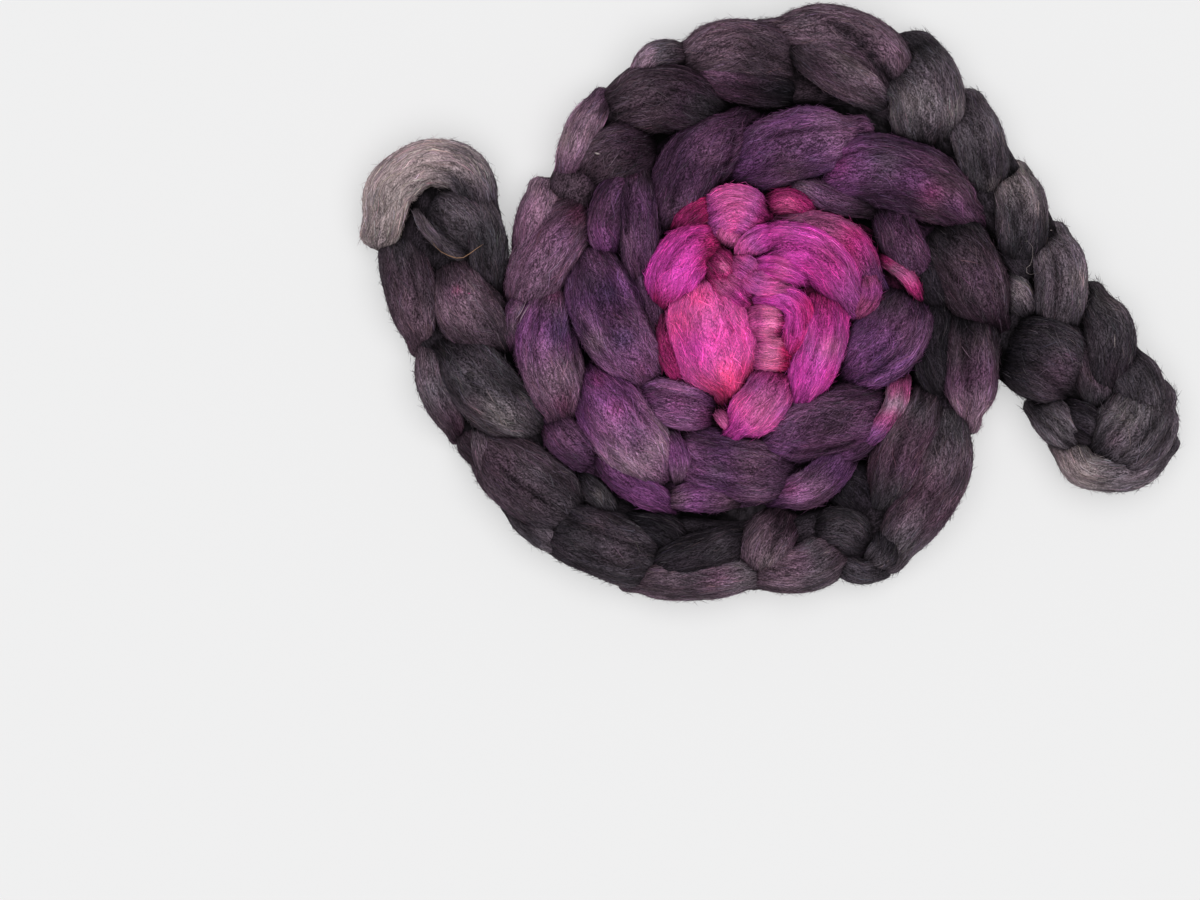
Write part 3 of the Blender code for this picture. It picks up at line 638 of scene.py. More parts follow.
# ---------------------------------------------------------------------------------------------------------
# Its inner turn goes on under the middle, deep violet with paler folds. Two rosy slivers of the lower layer
# show beside it.
RIGHT_INNER = (
    Fold("low_big", ((-118, -54), (-98, -86), (-69, -123)), 47, 55, (16, 16), (0.4, 0.65),
         "violet violet lilac pale_mauve lilac",
         creases=(((-96, -64), (-82, -82), (-72, -96)),),
         touches=(((-108, -108), 9, "pale_mauve", 0.4), ((-90, -114), 11, "pale_mauve", 0.4),
             ((-86, -98), 10, "violet", 0.5), ((-114, -56), 7, "wine", 0.35), ((-100, -76), 7, "rose", 0.15),
             ((-74, -130), 8, "umber", 0.6))),
    Fold("low_side", ((-66, -92), (-58, -110), (-56, -128)), 15, 45, (8, 12), (0.5, 0.6),
         "plum violet mauve"),
    Fold("low_edge", ((-112, -110), (-94, -126), (-66, -143)), 21, 43, (8, 8), (0.5, 0.5),
         "aubergine violet violet"),
    Fold("low_tip", ((-60, -140), (-44, -138), (-18, -138)), 23, 44, (8, 10), (0.5, 0.5),
         "mauve violet plum plum_brown",
         touches=(((-36, -138), 8, "aubergine", 0.6),)),
    Fold("low_middle", ((-54, -108), (-18, -116), (22, -120)), 45, 50, (12, 16), (0.7, 0.4),
         "plum grape heather aubergine",
         creases=(((-44, -124), (-20, -128), (6, -128)),),
         touches=(((-8, -112), 13, "mauve", 0.6), ((-52, -102), 8, "lilac", 0.4),
             ((-36, -108), 9, "aubergine", 0.5), ((-30, -120), 8, "slate", 0.4))),
    Fold("low_right", ((2, -98), (42, -88), (82, -78)), 45, 53, (14, 10), (0.35, 0.7), "grape plum plum plum",
         creases=(((20, -106), (44, -106), (66, -98)),),
         touches=(((12, -96), 11, "lilac", 0.3), ((52, -80), 12, "slate", 0.3),
             ((74, -98), 8, "violet", 0.4))),
    Fold("low_under", ((48, -108), (64, -104), (82, -92)), 20, 42, (8, 8), (0.5, 0.6),
         "violet aubergine plum_brown"),
    Fold("low_return", ((14, -137), (38, -128), (62, -104)), 28, 45, (10, 12), (0.4, 0.6),
         "grape heather grape aubergine",
         touches=(((28, -134), 10, "lilac", 0.4), ((20, -132), 6, "wine", 0.2))),
    Fold("right_purple", ((101, 0), (91, -26), (62, -50)), 50, 54, (14, 14), (0.7, 0.5),
         "aubergine plum grape violet",
         creases=(((104, -8), (92, -24), (74, -40)), ((96, -36), (84, -48), (70, -56))),
         touches=(((90, -2), 10, "umber", 0.7), ((80, -22), 10, "violet", 0.6), ((96, -44), 8, "violet", 0.4),
             ((66, -54), 10, "grape", 0.5))),
    Fold("sliver_upper", ((87, 27), (101, 17), (112, 1)), 11, 46, (6, 8), (0.7, 0.35),
         "berry dusty_rose old_rose berry wine",
         touches=(((93, 21), 4, "pale_mauve", 0.35),)),
    Fold("sliver_lower", ((97, -60), (94, -74), (84, -90), (68, -102)), 15, 48, (8, 12), (0.9, 0.5),
         "old_rose pale_mauve dusty_rose violet violet"),
)
make_folds("right_inner_turn", RIGHT_INNER)

# ---------------------------------------------------------------------------------------------------------
# The left loose end starts in a pale ash loop at the top left, open like an arch, and its charcoal loops run
# down the left side and into the coil.
LEFT_TAIL = (
    Fold("arch", ((-263, 57), (-258, 78), (-236, 95), (-213, 92), (-202, 80), (-198, 66)), 32, 45, (6, 12),
         (0.75, 0.6), "pale_ash pale_ash pale_ash pale_ash ash slate charcoal",
         creases=(((-264, 60), (-254, 80), (-236, 92), (-216, 92)), ((-252, 66), (-244, 78), (-228, 84))),
         touches=(((-257, 82), 12, "pale_ash", 0.5), ((-266, 42), 7, "slate", 0.5),
             ((-232, 98), 12, "pale_ash", 0.5), ((-240, 78), 6, "ash", 0.4))),
    Fold("arch_inside", ((-229, 70), (-214, 56), (-198, 38)), 46, 40, (10, 6), (0.6, 0.7),
         "ink slate charcoal",
         creases=(((-226, 62), (-220, 46), (-206, 34)),),
         touches=(((-212, 70), 9, "slate", 0.3), ((-204, 48), 10, "slate", 0.35),
             ((-224, 54), 7, "soot", 0.5))),
    Fold("arch_leg", ((-199, 68), (-192, 40), (-188, 6)), 26, 41, (6, 10), (0.6, 0.5), "slate charcoal soot"),
    Fold("arch_strand", ((-240, 60), (-234, 49), (-223, 37)), 8, 41, (4, 4), (0.5, 0.4), "smoke slate"),
    Fold("left_leg", ((-254, 42), (-246, 14), (-236, -24)), 33, 43, (16, 12), (0.6, 0.5),
         "charcoal umber umber cocoa",
         creases=(((-244, 30), (-240, 8), (-240, -14)),),
         touches=(((-236, 38), 6, "ink", 0.7), ((-248, -2), 9, "cocoa", 0.5))),
    Fold("mid_fold", ((-214, 20), (-205, -4), (-184, -33)), 43, 47, (10, 12), (0.55, 0.36),
         "umber cocoa umber umber",
         touches=(((-214, 4), 8, "heather", 0.5), ((-203, -12), 10, "cocoa", 0.6),
             ((-190, 8), 8, "umber", 0.5), ((-212, 6), 3, "salmon", 0.12))),
    Fold("thin_leg", ((-232, -38), (-227, -60), (-213, -89)), 24, 40, (8, 12), (0.6, 0.5),
         "cocoa slate plum_brown",
         touches=(((-229, -40), 6, "smoke", 0.5),)),
    Fold("olive_fold", ((-214, -34), (-192, -62), (-162, -88)), 45, 49, (10, 12), (0.5, 0.55),
         "soot charcoal charcoal slate",
         creases=(((-204, -54), (-190, -70), (-172, -88)),),
         touches=(((-190, -76), 10, "ash", 0.4), ((-178, -84), 9, "ash", 0.45), ((-170, -62), 9, "soot", 0.5),
             ((-200, -74), 7, "cocoa", 0.5))),
    Fold("outer_leg", ((-197, -93), (-190, -115), (-177, -137)), 20, 40, (8, 12), (0.6, 0.6),
         "slate cocoa charcoal"),
    Fold("low_fold", ((-191, -103), (-168, -124), (-129, -151)), 48, 48, (10, 14), (0.5, 0.4),
         "umber umber charcoal",
         creases=(((-180, -118), (-164, -132), (-148, -144)),),
         touches=(((-158, -120), 9, "smoke", 0.2), ((-182, -116), 8, "mauve", 0.15),
             ((-146, -124), 9, "soot", 0.5))),
    Fold("low_nub", ((-122, -127), (-111, -138), (-103, -151)), 17, 35, (3, 5), (0.8, 0.6),
         "soot charcoal soot",
         touches=(((-112, -136), 4, "ash", 0.5),)),
)
make_folds("left_tail", LEFT_TAIL)

# ---------------------------------------------------------------------------------------------------------
# The left arm's outer turn goes along the bottom and up the right side, charcoal and then brown mauve. Its
# upper and lower loops lie side by side where the two strands of the chain part.
LEFT_OUTER = (
    Fold("low_rim", ((-173, -147), (-163, -158), (-140, -172)), 17, 38, (8, 8), (0.6, 0.6), "soot slate"),
    Fold("bottom_main", ((-141, -158), (-110, -171), (-74, -183)), 45, 48, (10, 14), (0.7, 0.6),
         "soot soot charcoal charcoal",
         creases=(((-132, -156), (-110, -162), (-90, -172)),),
         touches=(((-125, -170), 10, "slate", 0.3), ((-100, -176), 12, "cocoa", 0.2),
             ((-112, -154), 8, "cocoa", 0.2), ((-76, -172), 8, "soot", 0.5))),
    Fold("bottom_step", ((-88, -158), (-70, -162), (-54, -171)), 25, 38, (4, 6), (0.6, 0.6), "ink ink soot"),
    Fold("bottom_upper", ((-72, -187), (-44, -178), (-12, -168)), 28, 46, (10, 12), (0.5, 0.6),
         "soot soot soot",
         touches=(((-30, -174), 9, "slate", 0.3), ((-58, -182), 8, "ink", 0.4), ((-40, -166), 7, "ink", 0.5),
             ((-20, -158), 7, "ink", 0.5))),
    Fold("bottom_lower", ((-84, -195), (-46, -196), (-8, -190)), 27, 44, (10, 10), (0.5, 0.7),
         "cocoa slate cocoa smoke",
         touches=(((-30, -192), 11, "mauve", 0.5), ((-58, -204), 9, "cocoa", 0.5))),
    Fold("bottom_grey", ((14, -157), (3, -173), (-1, -189)), 33, 47, (10, 12), (0.8, 0.4),
         "plum_brown cocoa cocoa",
         creases=(((14, -160), (8, -174), (3, -186)),),
         touches=(((5, -184), 7, "ash", 0.5), ((12, -160), 8, "charcoal", 0.5),
             ((-6, -164), 7, "charcoal", 0.4))),
    Fold("bottom_right", ((2, -189), (32, -187), (56, -176)), 33, 46, (10, 12), (0.7, 0.6),
         "cocoa cocoa slate cocoa",
         creases=(((10, -188), (24, -182), (42, -180)),),
         touches=(((28, -180), 9, "mauve", 0.4), ((46, -192), 9, "cocoa", 0.4),
             ((30, -196), 6, "soot", 0.4))),
    Fold("right_step", ((42, -162), (58, -160), (74, -170)), 30, 42, (8, 8), (0.6, 0.6), "soot charcoal soot",
         touches=(((52, -156), 6, "slate", 0.25), ((70, -160), 6, "slate", 0.25))),
    Fold("right_shade", ((56, -126), (68, -134), (79, -148)), 36, 33, (4, 4), (0.6, 0.6), "ink ink"),
    Fold("loose_tuft", ((57, -183), (70, -190), (85, -188)), 17, 31, (3, 5), (0.8, 0.8), "soot charcoal"),
    Fold("right_inner", ((115, -70), (100, -104), (88, -144)), 38, 51, (14, 14), (0.6, 0.5),
         "umber plum_brown plum_brown charcoal",
         creases=(((98, -96), (92, -116), (88, -136)),),
         touches=(((110, -76), 9, "slate", 0.6), ((92, -94), 7, "smoke", 0.4),
             ((99, -116), 9, "heather", 0.5))),
    Fold("right_outer", ((131, -84), (125, -124), (95, -170)), 39, 50, (12, 12), (0.7, 0.6),
         "slate cocoa plum_brown slate",
         creases=(((127, -88), (121, -104), (113, -122)),),
         touches=(((137, -126), 9, "soot", 0.7), ((112, -148), 11, "cocoa", 0.5),
             ((104, -176), 8, "smoke", 0.4), ((120, -126), 8, "plum_brown", 0.5))),
    Fold("right_foot", ((88, -160), (88, -173), (79, -184)), 22, 38, (6, 8), (0.6, 0.6), "ink soot slate"),
    Fold("dark_drop", ((122, -6), (121, -36), (130, -66)), 29, 43, (8, 14), (0.7, 0.5), "ink ink soot"),
    Fold("purple_drop", ((146, -14), (147, -45), (145, -80)), 37, 48, (10, 10), (0.8, 0.3),
         "ink umber heather pale_mauve",
         creases=(((140, -32), (143, -48), (144, -62)),),
         touches=(((148, -74), 8, "pale_mauve", 0.4), ((137, -42), 7, "soot", 0.5),
             ((134, -62), 6, "heather", 0.5))),
    Fold("right_slab", ((132, 46), (146, 22), (162, -14)), 46, 51, (12, 12), (0.9, 0.4),
         "soot umber umber black_plum",
         creases=(((119, 42), (125, 27), (136, 12)),),
         touches=(((122, 47), 14, "soot", 0.7), ((150, 14), 9, "heather", 0.5), ((160, 20), 6, "mauve", 0.2),
             ((142, 2), 9, "soot", 0.4))),
)
make_folds("left_outer_turn", LEFT_OUTER)

# ---------------------------------------------------------------------------------------------------------
# Its inner turn lies over the top of the middle and down the left of it, violet with lilac lights. These are
# the longest, softest loops, and they rise towards the middle.
LEFT_INNER = (
    Fold("down_strand", ((92, 60), (99, 40), (112, 14)), 31, 46, (8, 12), (0.8, 0.6),
         "aubergine plum plum plum",
         creases=(((100, 56), (103, 42), (112, 24)),),
         touches=(((88, 44), 5, "mauve", 0.6), ((106, 36), 6, "mauve", 0.4))),
    Fold("shade_strand", ((113, 34), (119, 12), (126, -4)), 24, 39, (6, 6), (0.6, 0.6), "ink ink"),
    Fold("top_tip", ((48, 86), (78, 90), (106, 84), (130, 72), (144, 60)), 47, 55, (14, 14), (0.75, 0.35),
         "violet aubergine aubergine plum_brown heather",
         creases=(((52, 98), (70, 104), (88, 100)),),
         touches=(((52, 94), 9, "magenta", 0.2), ((66, 106), 9, "violet", 0.4),
             ((106, 83), 11, "violet", 0.6), ((118, 73), 8, "magenta", 0.18), ((88, 96), 11, "slate", 0.3),
             ((140, 72), 6, "mauve", 0.4), ((74, 74), 10, "aubergine", 0.6), ((136, 62), 8, "violet", 0.4))),
    Fold("top_arch", ((-12, 92), (20, 105), (62, 112)), 50, 54, (12, 14), (0.6, 0.5),
         "grape plum grape lilac",
         creases=(((4, 112), (26, 116), (48, 118)),),
         touches=(((46, 118), 14, "mauve", 0.6), ((4, 112), 14, "grape", 0.6),
             ((24, 90), 12, "plum_brown", 0.6), ((62, 122), 8, "pale_mauve", 0.3))),
    Fold("top_left", ((-14, 120), (-44, 96), (-63, 56)), 46, 52, (12, 12), (0.45, 0.6),
         "plum aubergine aubergine plum",
         creases=(((-18, 112), (-22, 96), (-29, 80)), ((-40, 104), (-54, 84), (-62, 66))),
         touches=(((-38, 100), 10, "mauve", 0.3), ((-60, 62), 8, "mauve", 0.4))),
    Fold("top_light", ((20, 81), (34, 77), (50, 69), (74, 64)), 18, 46, (8, 8), (0.5, 0.6),
         "heather plum plum black_plum",
         touches=(((30, 78), 6, "pale_mauve", 0.3),)),
    Fold("violet_left", ((-88, 88), (-101, 72), (-108, 52), (-105, 32)), 28, 47, (10, 12), (0.7, 0.6),
         "plum aubergine plum violet",
         touches=(((-100, 92), 6, "wine", 0.4),)),
    Fold("violet_right", ((-88, 90), (-85, 58), (-81, 14)), 28, 49, (10, 8), (0.7, 0.6),
         "black_plum aubergine aubergine plum",
         creases=(((-92, 80), (-93, 62), (-94, 46)),),
         touches=(((-90, 94), 6, "wine", 0.25), ((-82, 66), 8, "violet", 0.3), ((-94, 42), 8, "mauve", 0.3))),
    Fold("violet_big", ((-118, 29), (-106, -10), (-80, -51)), 51, 56, (14, 14), (0.45, 0.55),
         "plum grape plum lilac",
         creases=(((-126, -14), (-116, -30), (-102, -48)), ((-92, 16), (-82, -6), (-72, -28))),
         touches=(((-97, 10), 8, "violet", 0.5), ((-82, -14), 6, "lilac", 0.5),
             ((-116, -30), 7, "pale_mauve", 0.5), ((-118, 12), 8, "charcoal", 0.5),
             ((-96, -28), 10, "indigo", 0.8), ((-82, -50), 7, "wine", 0.25), ((-106, 4), 9, "indigo", 0.7),
             ((-90, -40), 6, "violet", 0.5), ((-124, -12), 6, "mauve", 0.4))),
    Fold("dark_strand", ((-84, 30), (-79, 0), (-69, -32)), 20, 42, (6, 8), (0.6, 0.5), "aubergine plum"),
    Fold("violet_low", ((-84, -70), (-60, -74), (-34, -78)), 33, 48, (10, 12), (0.5, 0.6),
         "grape lilac lilac violet",
         creases=(((-78, -62), (-60, -66), (-44, -70)),),
         touches=(((-60, -74), 7, "orchid", 0.3), ((-82, -70), 8, "orchid", 0.25),
             ((-36, -82), 8, "wine", 0.3))),
)
make_folds("left_inner_turn", LEFT_INNER)

# ---------------------------------------------------------------------------------------------------------
# In the middle of the coil both arms end in magenta and pale pink loops of the same wool. They are curled
# over one another, and their own spring holds them up highest.
CENTRE = (
    Fold("arc", ((-33, 39), (-46, 36), (-59, 22), (-68, -4)), 39, 57, (8, 14), (0.75, 0.4),
         "berry magenta fuchsia fuchsia berry",
         creases=(((-44, 46), (-58, 36), (-66, 20)),),
         touches=(((-36, 24), 8, "crimson", 0.6), ((-33, 37), 7, "crimson", 0.25),
             ((-60, 22), 9, "fuchsia", 0.4))),
    Fold("arc_back", ((-33, 67), (-45, 59), (-57, 47)), 17, 50, (6, 8), (0.6, 0.5), "crimson wine wine",
         touches=(((-40, 64), 9, "wine", 0.7),)),
    Fold("arc_low", ((-66, -10), (-64, -34), (-52, -54)), 20, 47, (6, 8), (0.6, 0.6), "wine wine berry",
         touches=(((-68, -16), 8, "aubergine", 0.3),)),
    Fold("top_pink", ((-34, 54), (-18, 60), (-1, 54)), 34, 60, (8, 10), (0.8, 0.7),
         "orchid rose rose orchid berry",
         creases=(((-38, 58), (-18, 66), (2, 58)),),
         touches=(((-18, 66), 12, "blush", 0.35), ((-36, 62), 7, "fuchsia", 0.5),
             ((2, 60), 6, "magenta", 0.5))),
    Fold("top_pink_tail", ((-18, 51), (-21, 45), (-25, 38)), 22, 54, (2, 8), (1.0, 0.4),
         "rose old_rose dusty_rose"),
    Fold("top_red", ((6, 66), (20, 68), (38, 60)), 19, 50, (8, 10), (0.6, 0.4), "wine berry wine",
         touches=(((18, 65), 7, "blush", 0.35),)),
    Fold("curl_back", ((14, 49), (40, 48), (62, 38), (78, 12)), 26, 54, (8, 10), (0.5, 0.6),
         "dusty_rose dusty_rose berry grape",
         creases=(((30, 57), (50, 53), (66, 43)),),
         touches=(((26, 57), 7, "pale_mauve", 0.3), ((72, 36), 10, "magenta", 0.4),
             ((80, 16), 7, "violet", 0.5))),
    Fold("curl_outer", ((0, 33), (13, 37), (32, 33), (49, 21), (61, 1)), 33, 63, (9, 8), (0.7, 0.6),
         "magenta magenta fuchsia magenta magenta orchid",
         creases=(((-4, 30), (14, 36), (32, 34), (48, 24)), ((46, 36), (60, 22), (68, 4))),
         touches=(((20, 49), 9, "orchid", 0.5), ((46, 32), 9, "blush", 0.2), ((12, 31), 7, "violet", 0.3),
             ((62, 20), 8, "rose", 0.3))),
    Fold("curl_middle", ((-10, 30), (-9, 34), (-2, 40), (10, 45)), 16, 62, (8, 8), (0.7, 0.5),
         "rose orchid fuchsia magenta",
         creases=(((-13, 32), (-6, 40), (4, 45)),)),
    Fold("curl_eye", ((-3, 22), (8, 22), (20, 18), (31, 13)), 14, 63, (6, 8), (0.7, 0.5),
         "fuchsia magenta rose fuchsia magenta",
         creases=(((0, 21), (12, 19), (24, 15)), ((-2, 25), (12, 25), (24, 20)))),
    Fold("curl_inner", ((-11, 17), (-3, 11), (10, 11), (25, 10)), 15, 61, (6, 8), (0.7, 0.5),
         "rose orchid rose dusty_rose magenta",
         creases=(((-9, 12), (4, 9), (20, 10)), ((-6, 16), (4, 13), (16, 14)))),
    Fold("curl_blush", ((-16, 25), (-11, 22), (-5, 17)), 14, 62, (4, 6), (0.8, 0.7), "rose orchid rose",
         creases=(((-16, 21), (-10, 18), (-4, 13)),)),
    Fold("curl_end", ((76, 14), (77, 2), (70, -9)), 15, 53, (3, 4), (0.7, 0.7),
         "dusty_rose orchid dusty_rose old_rose",
         creases=(((74, 12), (75, 2), (69, -6)), ((79, 10), (79, 2), (74, -8)))),
    Fold("front_big", ((-41, 9), (-35, -22), (-21, -62)), 59, 63, (14, 14), (0.45, 0.22),
         "rose rose hot_pink rose salmon",
         creases=(((-31, 6), (-27, -4), (-22, -22)),),
         touches=(((-56, -20), 10, "salmon", 0.5), ((-16, -14), 10, "rose", 0.35),
             ((-10, -50), 8, "crimson", 0.6), ((-24, -66), 7, "crimson", 0.5), ((-42, 2), 9, "salmon", 0.6),
             ((-46, -34), 12, "fuchsia", 0.7))),
    Fold("sleeve_lower", ((-1, -37), (9, -38), (16, -39)), 23, 57, (2, 3), (0.95, 0.9),
         "rose blush blush crimson",
         creases=(((-4, -42), (8, -43), (18, -43)),)),
    Fold("sleeve_upper", ((-2, -17), (6, -17), (13, -18)), 24, 60, (2, 3), (0.9, 0.85),
         "rose blush blush berry",
         creases=(((-5, -12), (6, -12), (14, -14)), ((-5, -22), (6, -22), (16, -22)))),
    Fold("ridged_arch", ((3, 1), (16, 0), (26, -8), (26, -22), (21, -37)), 20, 59, (4, 6), (0.6, 0.5),
         "fuchsia fuchsia fuchsia magenta berry",
         creases=(((14, -2), (22, -10), (21, -24)), ((18, 5), (30, -4), (31, -20))),
         touches=(((35, -4), 9, "crimson", 0.8), ((36, -18), 8, "crimson", 0.7),
             ((28, -34), 8, "crimson", 0.5), ((16, 1), 6, "orchid", 0.5))),
    Fold("magenta_leg", ((43, 0), (43, -26), (29, -67)), 30, 61, (10, 8), (0.75, 0.42),
         "berry magenta orchid fuchsia fuchsia",
         creases=(((50, -10), (51, -28), (44, -48)), ((40, -10), (40, -30), (32, -52))),
         touches=(((46, 0), 9, "wine", 0.5), ((34, -48), 8, "fuchsia", 0.6), ((48, -34), 8, "blush", 0.5),
             ((50, -54), 5, "crimson", 0.3), ((38, -66), 8, "rose", 0.3))),
    Fold("pink_low", ((12, -54), (0, -72), (-17, -91)), 33, 59, (10, 8), (0.8, 0.32),
         "berry orchid rose fuchsia",
         creases=(((6, -54), (-8, -70), (-18, -86)), ((14, -58), (6, -72), (-6, -88))),
         touches=(((2, -74), 12, "blush", 0.6), ((14, -48), 9, "wine", 0.6),
             ((-18, -92), 6, "magenta", 0.6))),
    Fold("pink_nub", ((-29, -80), (-25, -84), (-20, -90)), 9, 45, (2, 3), (0.6, 0.6),
         "dusty_rose old_rose rose"),
    Fold("knot_back", ((-34, 29), (-27, 22), (-20, 13)), 24, 55, (4, 6), (0.7, 0.6), "wine wine berry",
         touches=(((-26, 22), 3.5, "blush", 0.6),)),
    Fold("knot_middle", ((-31, 16), (-20, 7), (-7, -4)), 22, 57, (6, 6), (0.6, 0.5),
         "berry old_rose magenta berry",
         creases=(((-26, 16), (-14, 6), (-6, -2)), ((-30, 12), (-20, 3), (-12, -3)))),
)
make_folds("middle_curl", CENTRE)

# ---------------------------------------------------------------------------------------------------------
# Under the folds lie the imported middle of each arm and the bed of the coil, seen only in the gaps. The wool
# is really there, but its dyes are darker than the wool above, painted shade for the deep gaps. The loops
# there are pressed together, so plain thick lengths and two flat mounds stand for them.
UNDER_COARSE = 2.8
BED_SEGMENTS = 64
BED_RINGS = 24
# painted shade: the bed and the mound are darkened to half their dye
BED_SHADE = 0.5
UNDER = (
    Fold("right_arm", (
        (258, -96), (248, -72), (224, -36), (204, 8), (178, 58), (150, 100), (112, 142), (62, 162),
        (-10, 160), (-74, 146), (-112, 102), (-134, 58), (-150, 6), (-148, -40), (-130, -86), (-92, -116),
        (-36, -122), (26, -112), (70, -84), (84, -36), (82, 16), (52, 40), (0, 58), (-44, 34), (-52, -10),
        (-30, -40),
    ), 46, 30, (0, 0), (1, 1), "soot soot umber aubergine aubergine wine"),
    Fold("left_arm", (
        (-226, 70), (-229, 44), (-230, 12), (-212, -36), (-186, -84), (-150, -128), (-104, -162), (-40, -178),
        (30, -174), (82, -152), (114, -110), (134, -60), (144, -2), (128, 46), (84, 84), (30, 106),
        (-30, 104), (-76, 76), (-98, 28), (-98, -18), (-80, -58), (-40, -76), (6, -72), (38, -42), (42, -6),
        (20, 14), (0, 0),
    ), 46, 30, (0, 0), (1, 1), "soot soot soot aubergine aubergine wine"),
    Fold("right_tail_loop", ((202, -44), (228, -68), (250, -94)), 50, 27, (0, 0), (1, 1), "soot soot"),
    Fold("right_gap_loop", ((188, -2), (174, -16), (165, -40)), 32, 26, (0, 0), (1, 1), "soot soot"),
    Fold("left_tail_loop", ((-218, 66), (-214, 36), (-204, -2)), 50, 27, (0, 0), (1, 1), "soot soot"),
    Fold("left_gap_loop", ((-184, 8), (-182, -20), (-170, -54)), 34, 26, (0, 0), (1, 1), "soot soot"),
    Fold("low_gap_loop", ((-132, -116), (-106, -138), (-70, -152)), 26, 25, (0, 0), (1, 1), "soot soot"),
)
make_folds("packed_under", UNDER, UNDER_COARSE)

# name, middle, radii and dye
BED = (
    ("bed", (-2.0, -2.0, 12.0), (150.0, 184.0, 14.0), "soot"),
    ("mound", (2.0, -6.0, 22.0), (66.0, 72.0, 28.0), "wine"),
)
for name, middle, radii, dye in BED:
    bpy.ops.mesh.primitive_uv_sphere_add(segments=BED_SEGMENTS, ring_count=BED_RINGS)
    bed = bpy.context.object
    bed.name = name
    points = np.empty(3 * len(bed.data.vertices))
    bed.data.vertices.foreach_get("co", points)
    points = (points.reshape(-1, 3) * radii + middle) * MM
    points[:, 2] = np.maximum(points[:, 2], ABOVE_TABLE * MM)
    bed.data.vertices.foreach_set("co", points.ravel())
    write_dye_and_shading(bed.data, np.tile(BED_SHADE * dye_colour(dye), (len(points), 1)))
    bed.data.uv_layers[0].name = "OFBake"
    bed.data.uv_layers.new(name="combed")
    bed.data.shade_smooth()
    join_coil(bed, combed_wool)

# ---------------------------------------------------------------------------------------------------------
# Hardly any light gets down between the folds, and the pale table lights the coil's rim. A height map of the
# wool tells how deep each point lies, and by it painted shade and a painted rim glow go into the dyes so far.
MAP_STEP = 1.0
MAP_CORNER = (-300.0, -230.0)
MAP_SIZE = (620, 460)
MAP_ALONG = 0.6
MAP_ROUND = 140
MAP_ANGLES = (-0.05 * math.pi, 1.05 * math.pi)
MAP_SLACK = 0.3
# near and far: how wide the wool round a point is looked at, how deep below it the light is gone, from where
VALLEY_REACH = (2.5, 9.0)
VALLEY_DEPTH = (4.5, 16.0)
VALLEY_START = (-0.3, 2.0)
VALLEY_SHADE = 0.08
OPEN_REACH = 6.0
OPEN_SHADE = 0.6
RIM_STEEPNESS = 3.0
RIM_START = 0.3
RIM_GLOW = np.array([0.024, 0.019, 0.023])

top_level = np.full(MAP_SIZE, -1.0)
top_fold = np.full(MAP_SIZE, -1)


def map_cell(point):
    """The height map's cell under each point."""
    column = np.clip(((point[..., 0] - MAP_CORNER[0]) / MAP_STEP).astype(int), 0, MAP_SIZE[0] - 1)
    row = np.clip(((point[..., 1] - MAP_CORNER[1]) / MAP_STEP).astype(int), 0, MAP_SIZE[1] - 1)
    return column, row


for name, laid in laid_folds:
    along = np.arange(laid.along[0], laid.along[-1], MAP_ALONG)[:, None]
    angle = np.linspace(*MAP_ANGLES, MAP_ROUND)[None, :]
    point, _ = on_fold(laid, along, angle)
    cell = map_cell(point)
    np.maximum.at(top_level, cell, point[..., 2])
    here = point[..., 2] > top_level[cell] - MAP_SLACK
    top_fold[cell[0][here], cell[1][here]] = laid.number


def blurred(field, spread):
    """The field smoothed by a bell curve."""
    reach = np.arange(-round(3 * spread), round(3 * spread) + 1)
    bell = np.exp(-0.5 * (reach / spread) ** 2)
    bell /= bell.sum()
    for axis in (0, 1):
        field = np.apply_along_axis(np.convolve, axis, field, bell, "same")
    return field


wool_level = np.maximum(top_level, 0.0)
near_level, far_level = [blurred(wool_level, reach / MAP_STEP) for reach in VALLEY_REACH]
open_table = blurred((top_level < 0.0).astype(float), OPEN_REACH / MAP_STEP)


def lit(points, colours):
    """Wool colours darkened down between the folds, and paler round the coil's rim."""
    cell = map_cell(points)
    near = np.clip(1.0 - (near_level[cell] - points[..., 2] - VALLEY_START[0]) / VALLEY_DEPTH[0], 0.0, 1.0)
    far = np.clip(1.0 - (far_level[cell] - points[..., 2] - VALLEY_START[1]) / VALLEY_DEPTH[1], 0.0, 1.0)
    near = VALLEY_SHADE + (1.0 - VALLEY_SHADE) * near * (2.0 - near)
    far = VALLEY_SHADE + (1.0 - VALLEY_SHADE) * far
    rim = np.clip(RIM_STEEPNESS * open_table[cell] - RIM_START, 0.0, 1.0)
    return colours * np.maximum(near * far, OPEN_SHADE * rim)[:, None] + RIM_GLOW * rim[:, None]


for item in list(bpy.data.objects):
    if item.type == "MESH" and "dye" in item.data.attributes:
        count = len(item.data.vertices)
        points = np.empty(3 * count)
        item.data.vertices.foreach_get("co", points)
        colours = np.empty(4 * count)
        item.data.color_attributes["dye"].data.foreach_get("color", colours)
        colours = colours.reshape(-1, 4)
        colours[:, :3] = lit(points.reshape(-1, 3) / MM, colours[:, :3])
        item.data.color_attributes["dye"].data.foreach_set("color", colours.astype(np.float32).ravel())

# ---------------------------------------------------------------------------------------------------------
# Single fibres lie along every fold, some paler and some darker than the wool under them, and finer ones
# stand off it as a haze of fuzz. A fibre is a thin closed spindle, and its ends are buried in the wool.
HIDDEN_BELOW = 1.5
EDGE_AREA = 1.2
FIBRE_ROUGHNESS = 0.75
FIBRE_GIRTHS = (0.7, 1.5)
LOWEST_FIBRE = 0.1
# fibres that lie on the wool: their number, form and place (angles in half turns from one side over the top)
FIBRE_COUNT = 40000
FIBRE_TRIES = 4
FIBRE_STATIONS = 4
FIBRE_LENGTHS = (8.0, 21.0)
SHORTEST_FIBRE = 8.0
SHORTEST_FOLD = 18.0
FIBRE_RADIUS = 0.21
FIBRE_FROM_END = 2.0
TIP_MARGIN = 1.0
FIBRE_ANGLES = (-0.16, 1.16)
FIBRE_DRIFT = 0.16
DRIFT_LENGTH = 25.0
FIBRE_BOW = 0.05
BOW_PHASE = 9.0
FIBRE_LIFT = (0.30, 0.12)
ENDS_SUNK = 0.12
